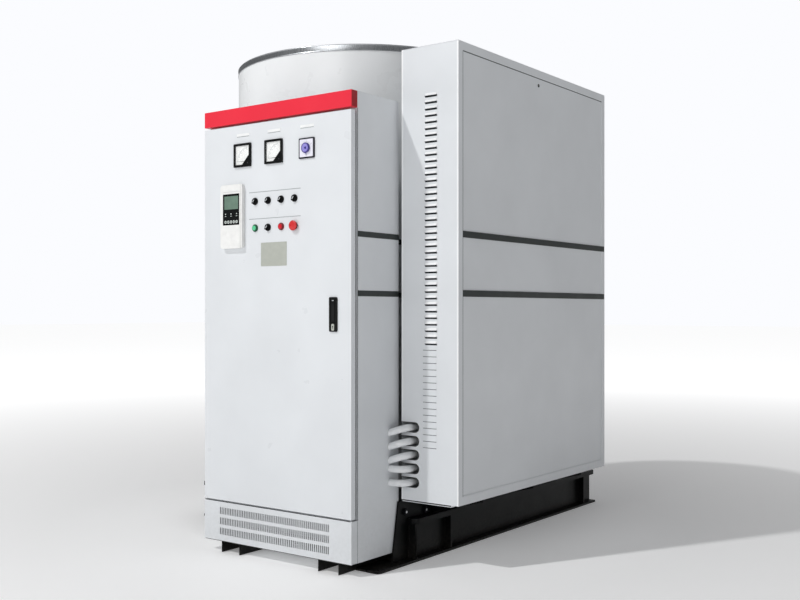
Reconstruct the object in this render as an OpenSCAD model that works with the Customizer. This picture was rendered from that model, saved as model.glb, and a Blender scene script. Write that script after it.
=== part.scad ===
/* [Round shell] */
// Outer diameter of the painted jacket
shell_d = 1198; // [1150:2:1250]
// Top of the polished ring above the floor
shell_top = 2134; // [2080:2:2200]
// Thickness of the jacket sheet
jacket_t = 2; // [1.5:0.5:3]
// Height of the polished ring
ring_h = 28; // [20:1:40]
// How far the ring stands proud of the jacket
ring_proud = 3; // [2:0.5:6]
// Depth of the top cover below the ring's rim
cover_drop = 16; // [10:1:24]
// Thickness of the top cover
cover_t = 6; // [4:1:8]

/* [Pressure vessel] */
// Mineral wool between the pressure vessel and the jacket
wool_t = 97; // [80:1:120]
// Wall of the pressure vessel
vessel_t = 8; // [6:1:12]
// Height of the vessel's dished end above its seam
dish_h = 150; // [120:2:180]
// Bottom of the vessel's lower dished end above the floor
vessel_bottom = 260; // [240:2:280]
// Clear height between the vessel's top and the cover
vessel_headroom = 90; // [80:2:120]
// Diameter of a vessel leg
leg_d = 90; // [70:2:110]

/* [Water connections] */
// Outer diameter of the water pipes
pipe_d = 89; // [76:1:100]
// Wall of the water pipes
pipe_t = 4; // [3:0.5:6]
// Diameter of a water flange
flange_d = 200; // [190:2:220]
// Thickness of a water flange
flange_t = 20; // [16:1:26]
// Bolt circle of a water flange
flange_pcd = 160; // [150:1:168]
// Bolt holes in a water flange
flange_holes = 8; // [4:4:8]
// Diameter of the bolt holes in the flanges
flange_hole_d = 18; // [14:1:20]
// Reach of the water flanges past the round jacket
pipe_reach = 140; // [110:2:180]
// Height of the water inlet above the floor
inlet_z = 560; // [520:5:600]
// Height of the water outlet above the floor
outlet_z = 1720; // [1650:5:1760]
// Outer diameter of the drain pipe
drain_d = 34; // [28:1:42]

/* [Electric heaters] */
// Number of heater flanges, one above another
heater_count = 3; // [1:1:3]
// Height of the lowest heater above the floor
heater_z0 = 620; // [580:5:660]
// Spacing of the heaters
heater_pitch = 450; // [400:5:480]
// Outer diameter of a heater nozzle
nozzle_d = 168; // [150:2:190]
// Diameter of a heater flange
heater_flange_d = 280; // [270:2:300]
// Diameter of a heating rod
rod_d = 16; // [12:1:20]
// Length of the heating rods inside the vessel
rod_len = 900; // [700:10:1000]

/* [Terminal box] */
// Width of the tall box beside the shell
box_w = 270; // [250:2:300]
// Length of the box from front to rear
box_l = 1276; // [1200:2:1340]
// Bottom of the box above the floor
box_bottom = 257; // [240:1:280]
// Top of the box above the floor
box_top_z = 2040; // [1980:2:2090]
// Sheet thickness of the box
box_t = 2; // [1.5:0.5:3]
// Gap between the cabinet's side and the box
box_gap = 20; // [14:1:30]
// Width of the box's corner posts
post_w = 28; // [24:1:34]
// Height of the border above the side panel
border_h = 32; // [24:1:40]
// Number of pressed louvres in the front
louvre_count = 55; // [20:1:55]
// Plain height of the front above the top louvre
louvre_border = 200; // [180:1:260]
// Width of a louvre
louvre_w = 57; // [50:1:70]
// Reach of a louvre's hood
louvre_reach = 6; // [4:0.5:8]
// Height of the lowest louvre above the floor
louvre_z0 = 468; // [440:2:490]
// Height of a dark trim strip
strip_h = 22; // [16:1:30]
// Height of the lower trim strip's centre above the floor
strip_z = 1071; // [1040:1:1100]
// Spacing of the two trim strips
strip_pitch = 226; // [200:1:250]

/* [Control cabinet] */
// Width of the cabinet
cab_w = 800; // [760:2:840]
// Depth of the cabinet from the door's face to the rear
cab_d = 262; // [250:1:300]
// Top of the cabinet above the floor
cab_top = 1838; // [1790:2:1900]
// Sheet thickness of the cabinet
cab_t = 2; // [1.5:0.5:3]
// Height of the channel feet
foot_h = 48; // [40:1:60]
// Width of a channel foot
foot_w = 107; // [90:1:120]
// Height of the slotted plinth
plinth_h = 168; // [150:1:190]
// Height of the red header
header_h = 64; // [50:1:80]
// Gap between the cabinet's rear and the round jacket
cab_gap = 18; // [10:1:30]
// Reach of the flange that screens the gap between cabinet and box
cab_flange = 34; // [10:1:40]

/* [Door] */
// Depth of the folded door
door_d = 25; // [20:1:30]
// Air gap behind the door, filled by the gasket at its edge
door_gap = 11; // [8:1:14]
// Diameter of a hinge knuckle
knuckle_d = 12; // [10:1:14]
// Diameter of a hinge pin
pin_d = 6; // [5:0.5:8]
// Width of a panel meter
meter_w = 96; // [90:1:104]
// Diameter of the holes for knobs and buttons
device_d = 22; // [20:1:24]
// Diameter of the mushroom button
mushroom_d = 40; // [36:1:46]
// Width of the temperature controller
ctrl_w = 124; // [120:1:140]
// Height of the temperature controller
ctrl_h = 262; // [250:1:290]
// Height of the door handle's plate
handle_h = 132; // [120:1:150]
// Width of the door handle's plate
handle_w = 39; // [34:1:44]

/* [Cable conduits] */
// Outer diameter of a conduit
conduit_d = 28; // [22:1:30]
// Wall of a conduit
conduit_t = 2; // [1:0.5:3]
// Number of conduits
conduit_count = 5; // [1:1:5]
// Spacing of the conduits
conduit_pitch = 54.3; // [48:0.1:58]
// Height of the lowest conduit where it enters the box
conduit_z0 = 328; // [320:1:345]
// How far the upper conduits drop towards the cabinet
conduit_drop = 20; // [0:1:24]

/* [Skid] */
// Height of the skid
skid_h = 170; // [150:1:190]
// Width of a beam's flange
beam_w = 42; // [36:1:50]
// Web of a beam
web_t = 8; // [6:1:10]
// Lower flange of a beam
foot_t = 10; // [8:1:12]
// Upper flange of the right beam
band_t = 22; // [18:1:26]
// Thickness of the deck plate
deck_t = 10; // [8:1:12]
// Thickness of the upstand that carries the box
upstand_t = 8; // [6:1:10]
// Length of the skid behind the shell's axis
skid_rear = 1077; // [1040:1:1120]
// Length of the right beam's foot in front of the shell's axis
skid_front = 779; // [760:1:800]
// Diameter of the anchor holes
anchor_d = 18; // [14:1:22]
// Distance of the anchor holes from the shell's axis, front and rear
anchor_y = 320; // [300:2:340]

/* [Hidden] */

$fa = 4;
$fs = 1;
cut = 1;
seat_gap = 0.3;
fit_gap = 0.05;

shell_r = shell_d / 2;
jacket_in_r = shell_r - jacket_t;
jacket_top = shell_top - ring_h;
cover_z = shell_top - cover_drop - cover_t;
cover_r = jacket_in_r - seat_gap;
vessel_r = jacket_in_r - wool_t;
vessel_in_r = vessel_r - vessel_t;
vessel_top = cover_z - vessel_headroom;
vessel_seam_low = vessel_bottom + dish_h;
vessel_seam_high = vessel_top - dish_h;
insul_in_r = vessel_r + seat_gap;
insul_r = jacket_in_r - seat_gap;
leg_angles = [45, 135, 225, 315];
leg_circle_share = 0.78;
lug_angles = [30, 150, 270];
lug_w = 60;
lug_h = 60;
lug_t = 10;
lug_hole_d = 26;
lug_circle_r = shell_r * 0.72;
valve_d = 60;
valve_h = 90;
valve_share = 0.52;
valve_y = vessel_r * valve_share;

pipe_r = pipe_d / 2;
bore_r = pipe_r - pipe_t;
flange_y = shell_r + pipe_reach;
inlet_x = -200;
outlet_x = 200;
drain_r = drain_d / 2;
drain_x = 0;
drain_z = vessel_seam_low + drain_d;
ball_w = 64;

box_standoff = 58;
box_x0 = shell_r + box_standoff;
box_x1 = box_x0 + box_w;
box_inset = 10;
box_y0 = box_inset - shell_r;
box_y1 = box_y0 + box_l;
louvre_pitch = (box_top_z - louvre_border - louvre_z0) / max(louvre_count - 1, 1);
louvre_h = 14;
louvre_sheet = 1.2;
louvre_x = box_x0 + box_w * 0.5 + 6;
lip_h = 8;
lip_t = 3;
slot_h = 41;
slot_run = 85;
trim_t = 1.5;
strip_t = 1.5;

cab_x1 = box_x0 - box_gap;
cab_x0 = cab_x1 - cab_w;
cab_y1 = -(shell_r + cab_gap);
cab_y0 = cab_y1 - cab_d;
body_y0 = cab_y0 + door_d + door_gap;
door_z0 = foot_h + plinth_h;
header_gap = 10;
door_z1 = cab_top - header_h - header_gap;
door_edge = 1;
door_x0 = cab_x0 + door_edge;
door_x1 = cab_x1 - door_edge;
frame_w = 30;
foot_x = [99, 630];
vent_count = 60;
vent_pitch = 10;
vent_w = 5;
vent_h = 31;
vent_rows = 3;
vent_row_pitch = 38;

upstand_offset = 10;
upstand_x1 = cab_x1 + upstand_offset;
upstand_x0 = upstand_x1 - upstand_t;
beam_x1 = upstand_x1 + beam_w;
beam_z1 = skid_h - deck_t;
left_x0 = -beam_x1;
left_front_share = 0.6666;
left_front = -shell_r * left_front_share;
cross_w = 46;
cross_inset = 6;
cross_y0 = box_y0 + cross_inset;
rear_cross_y = skid_rear - cross_w;
mid_cross_share = 0.6;
mid_cross_y = shell_r * mid_cross_share;
post_ys = [55, 310, 1540];
post_t = 10;
anchor_r = anchor_d / 2;
anchor_x = beam_x1 - beam_w / 2;
front_anchor_y = [20, 175];
bearer_h = 40;
bearer_t = 8;
bearer_ys = [230, 638, 1089];
skid_bolt_d = 16;
skid_bolt_ys = [34, 173];
skid_bolt_z = 30;

conduit_r = conduit_d / 2;
conduit_in_r = conduit_r - conduit_t;
conduit_y = cab_y1 - 22;
bend_r = 42;
conduit_reach = 65;
conduit_x = cab_x1 + conduit_reach;
conduit_tail = 60;
conduit_inner = 16;

plate_gap = 8;
plate_t = 3;
plate_margin = 60;
plate_y = cab_y1 - cab_t - plate_gap - plate_t;

hinge_x = cab_x0 - knuckle_d / 2;
hinge_y = body_y0 - door_gap - plate_t;
knuckle_r = knuckle_d / 2;
hinge_h = 40;
hinge_spread = 297;
leaf_t = 3;
leaf_w = 46;
hinge_zs = [(door_z0 + door_z1) / 2 - hinge_spread, (door_z0 + door_z1) / 2 + hinge_spread];

meter_xs = [228, 402];
meter_z = 1640;
meter_proud = 8;
meter_depth = 50;
meter_rim = 6;
glass_t = 2;
dial_t = 1.5;
dial_drop = 5.5;
needle_r = 1.2;
needle_t = 0.8;
pivot_share = 0.26;
cam_x = 578;
cam_w = 80;
cam_z = 1637;
cam_plate_t = 6;
cam_knob_d = 40;
ctrl_x = 176;
ctrl_z = 1391;
ctrl_t = 18;
screen_w = 95;
screen_h = 128;
screen_t = 1.5;
screen_rise = 29;
column_x = 298;
column_pitch = 71.5;
top_row_z = 1447;
low_row_z = 1339;
bezel_d = 30;
bezel_t = 5;
knob_proud = 9;
pointer_tilt = 40;
button_proud = 4;
mushroom_t = 9;
travel = 3;
name_w = 141;
name_h = 95;
name_x = 400;
name_z = 1231;
label_t = 1;
label_w = 70;
label_h = 14;
label_z = 1722;
rule_w = 281;
rule_x = 403.5;
rule_h = 3;
rule_zs = [1484, 1376];
handle_inset = 87;
handle_x = cab_w - handle_inset;
handle_z = 991;
handle_t = 6;
handle_back = 28;
lock_w_share = 0.7;
lock_h_share = 0.92;
lever_w = 22;
lever_h = 88;
lever_t = 8;
lever_pivot_d = 6;
block_w = 34;
block_d = 44;
foot_inner = 8;
foot_corner_r = 20;
upstand_lean = 46;
upstand_lip = 5;
upstand_drop = 12;
upstand_z1 = box_bottom - upstand_drop;
deck_corner_share = 0.62;
skid_bolt_step = 12;
nut_h = 10;
dish_steps = 8;
valve_pipe_r = 20;
valve_rise = 20;
drain_stub = 30;
lever_boss_r = 6;
lever_z = 50;
lever_strap_t = 5;
lever_len = 120;
nozzle_t = 6;
heater_x = box_x0 + 33;
heater_bolts = 12;
rod_circle_r = 42;
hairpin_r = 18;
terminal_reach = 30;
frame_t = 2;
lip_share = 0.87;
entry_d = 60;
plinth_seam = 4;
foot_front = 3;
foot_sheet = 5;
breaker_x = 120;
breaker_z = 1380;
breaker_w = 140;
breaker_h = 220;
breaker_d = 90;
contactor_z = 1060;
contactor_pitch = 190;
contactor_w = 110;
contactor_h = 140;
contactor_d = 100;
rail_x = 110;
rail_w = 580;
rail_h = 35;
rail_d = 8;
terminal_z = 520;
terminal_count = 24;
terminal_w = 18;
terminal_d = 50;
trunking_x = 100;
trunking_w = 600;
trunking_h = 40;
trunking_d = 60;
trunking_zs = [430, 960, 1290];
fold_w = 18;
gasket_w = 10;
dial_y = dial_drop - meter_proud;
corner_d = 56;
needle_len = 58;
sleeve_r = 9.5;
sleeve_len = 22;
knob_d = 25;
lever_z0 = -30;

module channel(l, h, w, t_web, t_flange) {
  // A channel along +Y, web at x = 0, open side towards +X
  cube([t_web, l, h]);
  cube([w, l, t_flange]);
  translate([0, 0, h - t_flange]) cube([w, l, t_flange]);
}

module rod_y(r, l) {
  rotate([-90, 0, 0]) cylinder(r = r, h = l);
}

module rod_x(r, l) {
  rotate([0, 90, 0]) cylinder(r = r, h = l);
}

module tube_y(r_out, r_in, l) {
  difference() {
    rod_y(r_out, l);
    translate([0, -cut, 0]) rod_y(r_in, l + 2 * cut);
  }
}

module tube_z(r_out, r_in, l) {
  difference() {
    cylinder(r = r_out, h = l);
    translate([0, 0, -cut]) cylinder(r = r_in, h = l + 2 * cut);
  }
}

module bolt_circle(r_hole, pcd, count, l) {
  for (i = [0:count - 1]) rotate(360 * (i + 0.5) / count)
    translate([pcd / 2, 0, -cut]) cylinder(r = r_hole, h = l + 2 * cut);
}

module slab(x, y, z) {
  // A box given by its lower and upper ends along each axis
  translate([x[0], y[0], z[0]]) cube([x[1] - x[0], y[1] - y[0], z[1] - z[0]]);
}

module tray(x, y, z, t) {
  // A folded sheet cover, open towards +Y
  difference() {
    slab(x, y, z);
    slab([x[0] + t, x[1] - t], [y[0] + t, y[1] + cut], [z[0] + t, z[1] - t]);
  }
}

module hex_bolt(d, shank) {
  // Hexagon head above z = 0, shank below it
  head_h = d * 0.65;
  cylinder(r = d * 0.9, h = head_h, $fn = 6);
  translate([0, 0, -shank]) cylinder(r = d / 2, h = shank + head_h / 2);
}

function anchor_points() =
  [for (sx = [-1, 1]) for (sy = [-1, 1]) [sx * anchor_x, sy * anchor_y]];

module cross_beam(x0, x1, y) {
  // A channel across the skid, open towards +Y
  slab([x0, x1], [y, y + web_t], [0, beam_z1]);
  slab([x0, x1], [y, y + cross_w], [0, foot_t]);
  slab([x0, x1], [y, y + cross_w], [beam_z1 - foot_t, beam_z1]);
}

module skid_frame() color([0.1, 0.11, 0.12]) difference() {
  web_y0 = box_y0 + post_ys[0];
  foot_x0 = upstand_x0 - foot_inner;
  corner_r = foot_corner_r;
  band_z = skid_h - band_t;
  union() {
    slab([foot_x0, beam_x1], [corner_r - skid_front, skid_rear], [0, foot_t]);
    slab([foot_x0, beam_x1 - corner_r], [-skid_front, corner_r - skid_front + cut], [0, foot_t]);
    translate([beam_x1 - corner_r, corner_r - skid_front, 0]) cylinder(r = corner_r, h = foot_t);
    slab([upstand_x1, upstand_x1 + web_t], [web_y0, skid_rear], [foot_t, band_z]);
    translate([upstand_x1, web_y0, band_z]) linear_extrude(band_t) polygon([
      [0, 0], [beam_w - band_t, 0], [beam_w, band_t], [beam_w, skid_rear - web_y0 - band_t],
      [beam_w - band_t, skid_rear - web_y0], [0, skid_rear - web_y0]
    ]);
    for (p = post_ys) slab([upstand_x1, beam_x1 - post_t / 2],
      [box_y0 + p, box_y0 + p + post_t], [foot_t, band_z]);
    translate([-upstand_x1, left_front, 0]) mirror([1, 0, 0])
      channel(skid_rear - left_front, beam_z1, beam_w, web_t, foot_t);
    translate([0, cross_y0, 0]) channel(skid_rear - cross_y0, beam_z1, cross_w, web_t, foot_t);
    cross_beam(0, upstand_x0, cross_y0);
    cross_beam(-upstand_x1, cross_w / 2, left_front);
    cross_beam(-upstand_x1, upstand_x0, mid_cross_y);
    cross_beam(-upstand_x1, upstand_x0, rear_cross_y);
  }
  for (p = anchor_points()) translate([p[0], p[1], -cut]) cylinder(r = anchor_r, h = foot_t + 2 * cut);
  for (y = front_anchor_y) translate([anchor_x, y - skid_front, -cut])
    cylinder(r = anchor_r, h = foot_t + 2 * cut);
}

module deck_plate() color([0.1, 0.11, 0.12])
  translate([0, 0, beam_z1]) linear_extrude(deck_t) polygon([
    [left_x0, left_front], [left_x0 * deck_corner_share, cross_y0], [upstand_x0, cross_y0],
    [upstand_x0, skid_rear], [left_x0, skid_rear]
  ]);

module upstand() color([0.11, 0.12, 0.13]) difference() {
  union() {
    translate([upstand_x1, 0, 0]) rotate([0, -90, 0]) linear_extrude(upstand_t) polygon([
      [foot_t, box_y0 - upstand_lean], [upstand_z1, box_y0 - upstand_lip],
      [upstand_z1, box_y1], [skid_h, box_y1 + upstand_lean], [foot_t, box_y1 + upstand_lean]
    ]);
    for (y = bearer_ys) translate([0, box_y0 + y, 0]) rotate([90, 0, 0])
      linear_extrude(bearer_t) polygon([
        [upstand_x0, skid_h], [upstand_x0, upstand_z1], [upstand_x1, upstand_z1],
        [upstand_x1 + beam_w, box_bottom], [box_x1 - post_w, box_bottom],
        [box_x1 - post_w, box_bottom - bearer_h / 2], [upstand_x1, skid_h]
      ]);
  }
  skid_bolt_axes() rod_x(skid_bolt_d / 2 + seat_gap, upstand_t + 2 * cut);
}

module skid_bolt_axes() {
  for (i = [0, 1]) translate([upstand_x0 - cut, box_y0 + skid_bolt_ys[i],
    skid_h + skid_bolt_z - i * skid_bolt_step]) children();
}

module skid_bolts() color([0.3, 0.31, 0.33])
  skid_bolt_axes() {
    translate([cut + upstand_t, 0, 0]) rotate([0, 90, 0]) hex_bolt(skid_bolt_d, upstand_t + nut_h);
    translate([cut - nut_h, 0, 0]) rotate([0, 90, 0]) cylinder(r = skid_bolt_d * 0.9, h = nut_h, $fn = 6);
  }

module vessel_body(r, h) {
  // Round body with two dished ends, each h deep
  rotate_extrude() polygon(concat(
    [for (i = [-dish_steps:0]) let (a = 90 * i / dish_steps) [r * cos(a), vessel_seam_low + h * sin(a)]],
    [for (i = [0:dish_steps]) let (a = 90 * i / dish_steps) [r * cos(a), vessel_seam_high + h * sin(a)]]
  ));
}

module heater_axes() {
  for (i = [0:heater_count - 1]) translate([0, 0, heater_z0 + i * heater_pitch]) children();
}

module water_axes() {
  translate([inlet_x, 0, inlet_z]) children();
  translate([outlet_x, 0, outlet_z]) children();
}

module wall_openings(gap) {
  // The pipes' and nozzles' holes through the vessel, the insulation and the jacket
  heater_axes() rod_x(nozzle_d / 2 + gap, box_x0);
  water_axes() rod_y(pipe_r + gap, flange_y);
  translate([drain_x, 0, drain_z]) rod_y(drain_r + gap, flange_y);
}

module vessel() color([0.62, 0.63, 0.64]) difference() {
  union() {
    vessel_body(vessel_r, dish_h);
    for (a = leg_angles) rotate(a) translate([vessel_r * leg_circle_share, 0, skid_h])
      cylinder(r = leg_d / 2, h = vessel_seam_low - skid_h);
  }
  vessel_body(vessel_in_r, dish_h - vessel_t);
  wall_openings(seat_gap);
  translate([0, valve_y, vessel_seam_high]) cylinder(r = valve_pipe_r + seat_gap, h = dish_h + cut);
}

module insulation() color([0.86, 0.8, 0.62]) difference() {
  translate([0, 0, skid_h]) tube_z(insul_r, insul_in_r, cover_z - skid_h);
  wall_openings(seat_gap);
}

module jacket() color([0.88, 0.89, 0.9]) difference() {
  translate([0, 0, skid_h]) tube_z(shell_r, jacket_in_r, jacket_top - skid_h);
  wall_openings(seat_gap);
}

module top_ring() color([0.78, 0.8, 0.82]) translate([0, 0, jacket_top])
  tube_z(shell_r + ring_proud, jacket_in_r, ring_h);

module top_cover() color([0.7, 0.71, 0.72]) translate([0, 0, cover_z]) {
  difference() {
    cylinder(r = cover_r, h = cover_t);
    translate([0, valve_y, -cut]) cylinder(r = valve_pipe_r + seat_gap, h = cover_t + 2 * cut);
  }
  for (a = lug_angles) rotate(a) translate([lug_circle_r - lug_w / 2, lug_t / 2, cover_t])
    rotate([90, 0, 0]) difference() {
      linear_extrude(lug_t) polygon([
        [0, 0], [lug_w, 0], [lug_w * 0.75, lug_h], [lug_w * 0.25, lug_h]
      ]);
      translate([lug_w / 2, lug_h - lug_hole_d, -cut]) cylinder(r = lug_hole_d / 2, h = lug_t + 2 * cut);
    }
}

module safety_valve() color([0.72, 0.6, 0.3]) translate([0, valve_y, 0]) {
  valve_z = shell_top + valve_rise;
  difference() {
    union() {
      translate([0, 0, vessel_seam_high]) cylinder(r = valve_pipe_r, h = valve_z - vessel_seam_high);
      translate([0, 0, valve_z]) cylinder(r = valve_d / 2, h = valve_h);
      translate([0, 0, valve_z + valve_h]) cylinder(r1 = valve_d / 2, r2 = valve_pipe_r, h = valve_d / 2);
      translate([0, 0, valve_z + valve_d / 2]) rod_y(valve_pipe_r, valve_h);
    }
    translate([0, 0, vessel_seam_high - cut])
      cylinder(r = valve_pipe_r - pipe_t, h = valve_z - vessel_seam_high + valve_d / 2);
    translate([0, 0, valve_z + valve_d / 2]) rod_y(valve_pipe_r - pipe_t, valve_h + cut);
  }
}

module water_pipe(x, z) {
  // A pipe from inside the vessel to its flange behind the jacket
  start_y = sqrt(pow(vessel_in_r, 2) - pow(x, 2)) - pipe_d / 2;
  translate([x, start_y, z]) difference() {
    union() {
      rod_y(pipe_r, flange_y - start_y);
      translate([0, flange_y - start_y - flange_t, 0]) rod_y(flange_d / 2, flange_t);
    }
    translate([0, -cut, 0]) rod_y(bore_r, flange_y - start_y + 2 * cut);
    translate([0, flange_y - start_y - flange_t, 0]) rotate([-90, 0, 0])
      bolt_circle(flange_hole_d / 2, flange_pcd, flange_holes, flange_t);
  }
}

module water_inlet() color([0.2, 0.32, 0.5]) water_pipe(inlet_x, inlet_z);

module water_outlet() color([0.6, 0.22, 0.2]) water_pipe(outlet_x, outlet_z);

module drain_pipe() color([0.7, 0.6, 0.35]) {
  start_y = vessel_in_r - drain_d;
  valve_y = shell_r + drain_stub - start_y;
  drain_len = valve_y + ball_w + drain_stub;
  translate([drain_x, start_y, drain_z]) difference() {
    union() {
      rod_y(drain_r, drain_len);
      translate([0, valve_y, 0]) rod_y(ball_w / 2, ball_w);
      translate([0, valve_y + ball_w / 2, 0]) cylinder(r = lever_boss_r, h = lever_z);
    }
    translate([0, -cut, 0]) rod_y(drain_r - pipe_t, drain_len + 2 * cut);
  }
}

module drain_lever() color([0.75, 0.1, 0.1])
  translate([drain_x, shell_r + drain_stub + ball_w / 2, drain_z + lever_z - lever_strap_t - seat_gap])
    difference() {
      union() {
        cylinder(r = lever_boss_r * 2, h = lever_strap_t);
        slab([-lever_boss_r, lever_boss_r], [0, lever_len], [0, lever_strap_t]);
      }
      translate([0, 0, -cut]) cylinder(r = lever_boss_r + fit_gap, h = lever_strap_t + 2 * cut);
    }

module heater_flanges() color([0.55, 0.56, 0.58]) heater_axes() {
  difference() {
    union() {
      translate([vessel_in_r - nozzle_t, 0, 0]) rod_x(nozzle_d / 2, heater_x - vessel_in_r + nozzle_t);
      translate([heater_x, 0, 0]) rod_x(heater_flange_d / 2, flange_t);
    }
    translate([vessel_in_r - nozzle_t - cut, 0, 0]) rod_x(nozzle_d / 2 - nozzle_t, box_x0);
  }
  translate([heater_x + flange_t + seat_gap, 0, 0]) difference() {
    rod_x(heater_flange_d / 2, flange_t - seat_gap);
    rod_ends() rod_x(rod_d / 2 + seat_gap, flange_t + 2 * cut);
  }
  translate([heater_x + 2 * flange_t, 0, 0]) rotate([0, 90, 0])
    for (i = [0:heater_bolts - 1]) rotate(360 * (i + 0.5) / heater_bolts)
      translate([(heater_flange_d + nozzle_d) / 4 + flange_t / 3, 0, 0])
        cylinder(r = flange_t * 0.7, h = flange_t / 2, $fn = 6);
}

module rod_ends() {
  // Both legs of the three hairpin rods, starting just inside a flange cover
  for (k = [0:2], s = [-1, 1]) rotate([120 * k, 0, 0])
    translate([-cut, s * hairpin_r, rod_circle_r]) children();
}

module heating_rods() color([0.42, 0.4, 0.38]) heater_axes() for (k = [0:2]) rotate([120 * k, 0, 0]) {
  bend_x = heater_x + flange_t - rod_len;
  for (s = [-1, 1]) translate([bend_x, s * hairpin_r, rod_circle_r])
    rod_x(rod_d / 2, rod_len + flange_t + terminal_reach);
  translate([bend_x, 0, rod_circle_r]) rotate(90) rotate_extrude(angle = 180)
    translate([hairpin_r, 0]) circle(r = rod_d / 2);
}

module rod_terminals() color([0.72, 0.55, 0.25]) heater_axes()
  translate([heater_x + 2 * flange_t + cut, 0, 0]) rod_ends() difference() {
    rod_x(rod_d * 0.8, terminal_reach / 2);
    translate([-cut, 0, 0]) rod_x(rod_d / 2 + fit_gap, terminal_reach);
  }

function conduit_z(i) = conduit_z0 + i * conduit_pitch;
function conduit_tilt(i) = i < 2 ? 0 : asin(conduit_drop / (conduit_x - cab_x1));

module conduit_path(i, r, extra) {
  // One bent conduit from inside the cabinet to inside the box
  translate([conduit_x, 0, conduit_z(i)]) rotate([0, -conduit_tilt(i), 0]) {
    translate([0, conduit_y + bend_r, 0]) rod_y(r, conduit_tail + extra);
    translate([-bend_r, conduit_y + bend_r, 0]) rotate(-90) rotate_extrude(angle = 90)
      translate([bend_r, 0]) circle(r = r);
    translate([-(conduit_x - cab_x1) - conduit_inner - extra, conduit_y, 0])
      rod_x(r, conduit_x - cab_x1 - bend_r + conduit_inner + extra);
  }
}

module conduits() color([0.82, 0.83, 0.85]) for (i = [0:conduit_count - 1]) difference() {
  conduit_path(i, conduit_r, 0);
  conduit_path(i, conduit_in_r, cut);
}

module conduit_slot(i, shrink, y0, l) {
  // A slot open at the panel's left edge, with a round right end
  r = slot_h / 2 - shrink;
  translate([box_x0 - cut, y0, conduit_z(i) - r]) cube([slot_run - slot_h / 2 + cut, l, 2 * r]);
  translate([box_x0 + slot_run - slot_h / 2, y0, conduit_z(i)]) rod_y(r, l);
}

module all_slots(shrink, y0, l) {
  for (i = [0:conduit_count - 1]) conduit_slot(i, shrink, y0, l);
}

module slot_trims() color([0.08, 0.08, 0.09]) for (i = [0:conduit_count - 1]) difference() {
  conduit_slot(i, seat_gap, box_y0 - trim_t, box_t + trim_t);
  conduit_slot(i, 2 * trim_t, box_y0 - trim_t - cut, box_t + trim_t + 2 * cut);
  slab([box_x0 - 2 * cut, box_x0], [box_y0 - trim_t - cut, box_y0 + box_t + cut], [0, box_top_z]);
}

module box_frame() color([0.8, 0.81, 0.83]) {
  // Flat frame round the side panel, with the floor plate and the lip below the front
  fy = [box_y0 + box_t, box_y1 - box_t];
  top_z = box_top_z - box_t;
  difference() {
    slab([box_x1 - frame_t, box_x1], fy, [box_bottom, top_z]);
    slab([box_x1 - frame_t - cut, box_x1 + cut], [fy[0] + post_w, fy[1] - post_w],
      [box_bottom + border_h, top_z - border_h]);
  }
  slab([box_x0 + box_t, box_x1 - cut], fy, [box_bottom, box_bottom + box_t]);
  slab([box_x0 + box_t, box_x0 + box_w * lip_share], [box_y0 + lip_t, box_y0 + post_w],
    [box_bottom - lip_h, box_bottom + box_t]);
}

module louvre() {
  // A pressed hood, open below, standing out of the front
  translate([-louvre_w / 2, 0, 0]) rotate([90, 0, 90]) linear_extrude(louvre_w) polygon([
    [0, louvre_h], [-louvre_reach, louvre_h / 4], [-louvre_reach, 0],
    [louvre_sheet - louvre_reach, 0], [louvre_sheet - louvre_reach, louvre_h / 4],
    [0, louvre_h - louvre_sheet * 2]
  ]);
  for (x = [-louvre_w / 2, louvre_w / 2 - louvre_sheet]) translate([x, 0, 0])
    rotate([90, 0, 90]) linear_extrude(louvre_sheet) polygon([
      [0, louvre_h], [-louvre_reach, louvre_h / 4], [-louvre_reach, 0], [0, 0]
    ]);
}

module louvre_panel() color([0.85, 0.86, 0.88]) {
  difference() {
    slab([box_x0, box_x1], [box_y0, box_y0 + box_t], [box_bottom, box_top_z - box_t]);
    for (i = [0:louvre_count - 1]) translate([louvre_x, box_y0, louvre_z0 + i * louvre_pitch])
      slab([louvre_sheet - louvre_w / 2, louvre_w / 2 - louvre_sheet], [-cut, box_t + cut],
        [0, louvre_h - louvre_sheet * 2]);
    all_slots(0, box_y0 - cut, box_t + 2 * cut);
  }
  for (i = [0:louvre_count - 1]) translate([louvre_x, box_y0, louvre_z0 + i * louvre_pitch]) louvre();
}

module side_panel() color([0.7, 0.72, 0.75])
  slab([box_x1 - frame_t - box_t, box_x1 - frame_t],
    [box_y0 + box_t + post_w / 2, box_y1 - box_t - post_w / 2],
    [box_bottom + border_h / 2, box_top_z - box_t - border_h / 2]);

module box_top() color([0.85, 0.86, 0.88])
  slab([box_x0, box_x1], [box_y0, box_y1], [box_top_z - box_t, box_top_z]);

module rear_panel() color([0.8, 0.81, 0.83])
  slab([box_x0, box_x1], [box_y1 - box_t, box_y1], [box_bottom, box_top_z - box_t]);

module inner_panel() color([0.78, 0.79, 0.81]) difference() {
  slab([box_x0, box_x0 + box_t], [box_y0 + box_t, box_y1 - box_t], [box_bottom, box_top_z - box_t]);
  heater_axes() rod_x(nozzle_d / 2 + seat_gap, box_x1);
}

module trim_strips() color([0.2, 0.21, 0.22])
  for (z = [strip_z - strip_h / 2, strip_z + strip_pitch - strip_h / 2]) {
    slab([cab_x1, cab_x1 + strip_t], [body_y0, cab_y1 + cab_flange], [z, z + strip_h]);
    slab([box_x1, box_x1 + strip_t], [box_y0 + box_t, box_y1 - box_t], [z, z + strip_h]);
    slab([box_x1 - frame_t, box_x1 + strip_t], [box_y0 + box_t + post_w, box_y1 - box_t - post_w],
      [z, z + strip_h]);
    difference() {
      translate([0, 0, z]) tube_z(shell_r + strip_t, shell_r + fit_gap, strip_h);
      wall_openings(seat_gap);
    }
  }

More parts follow.
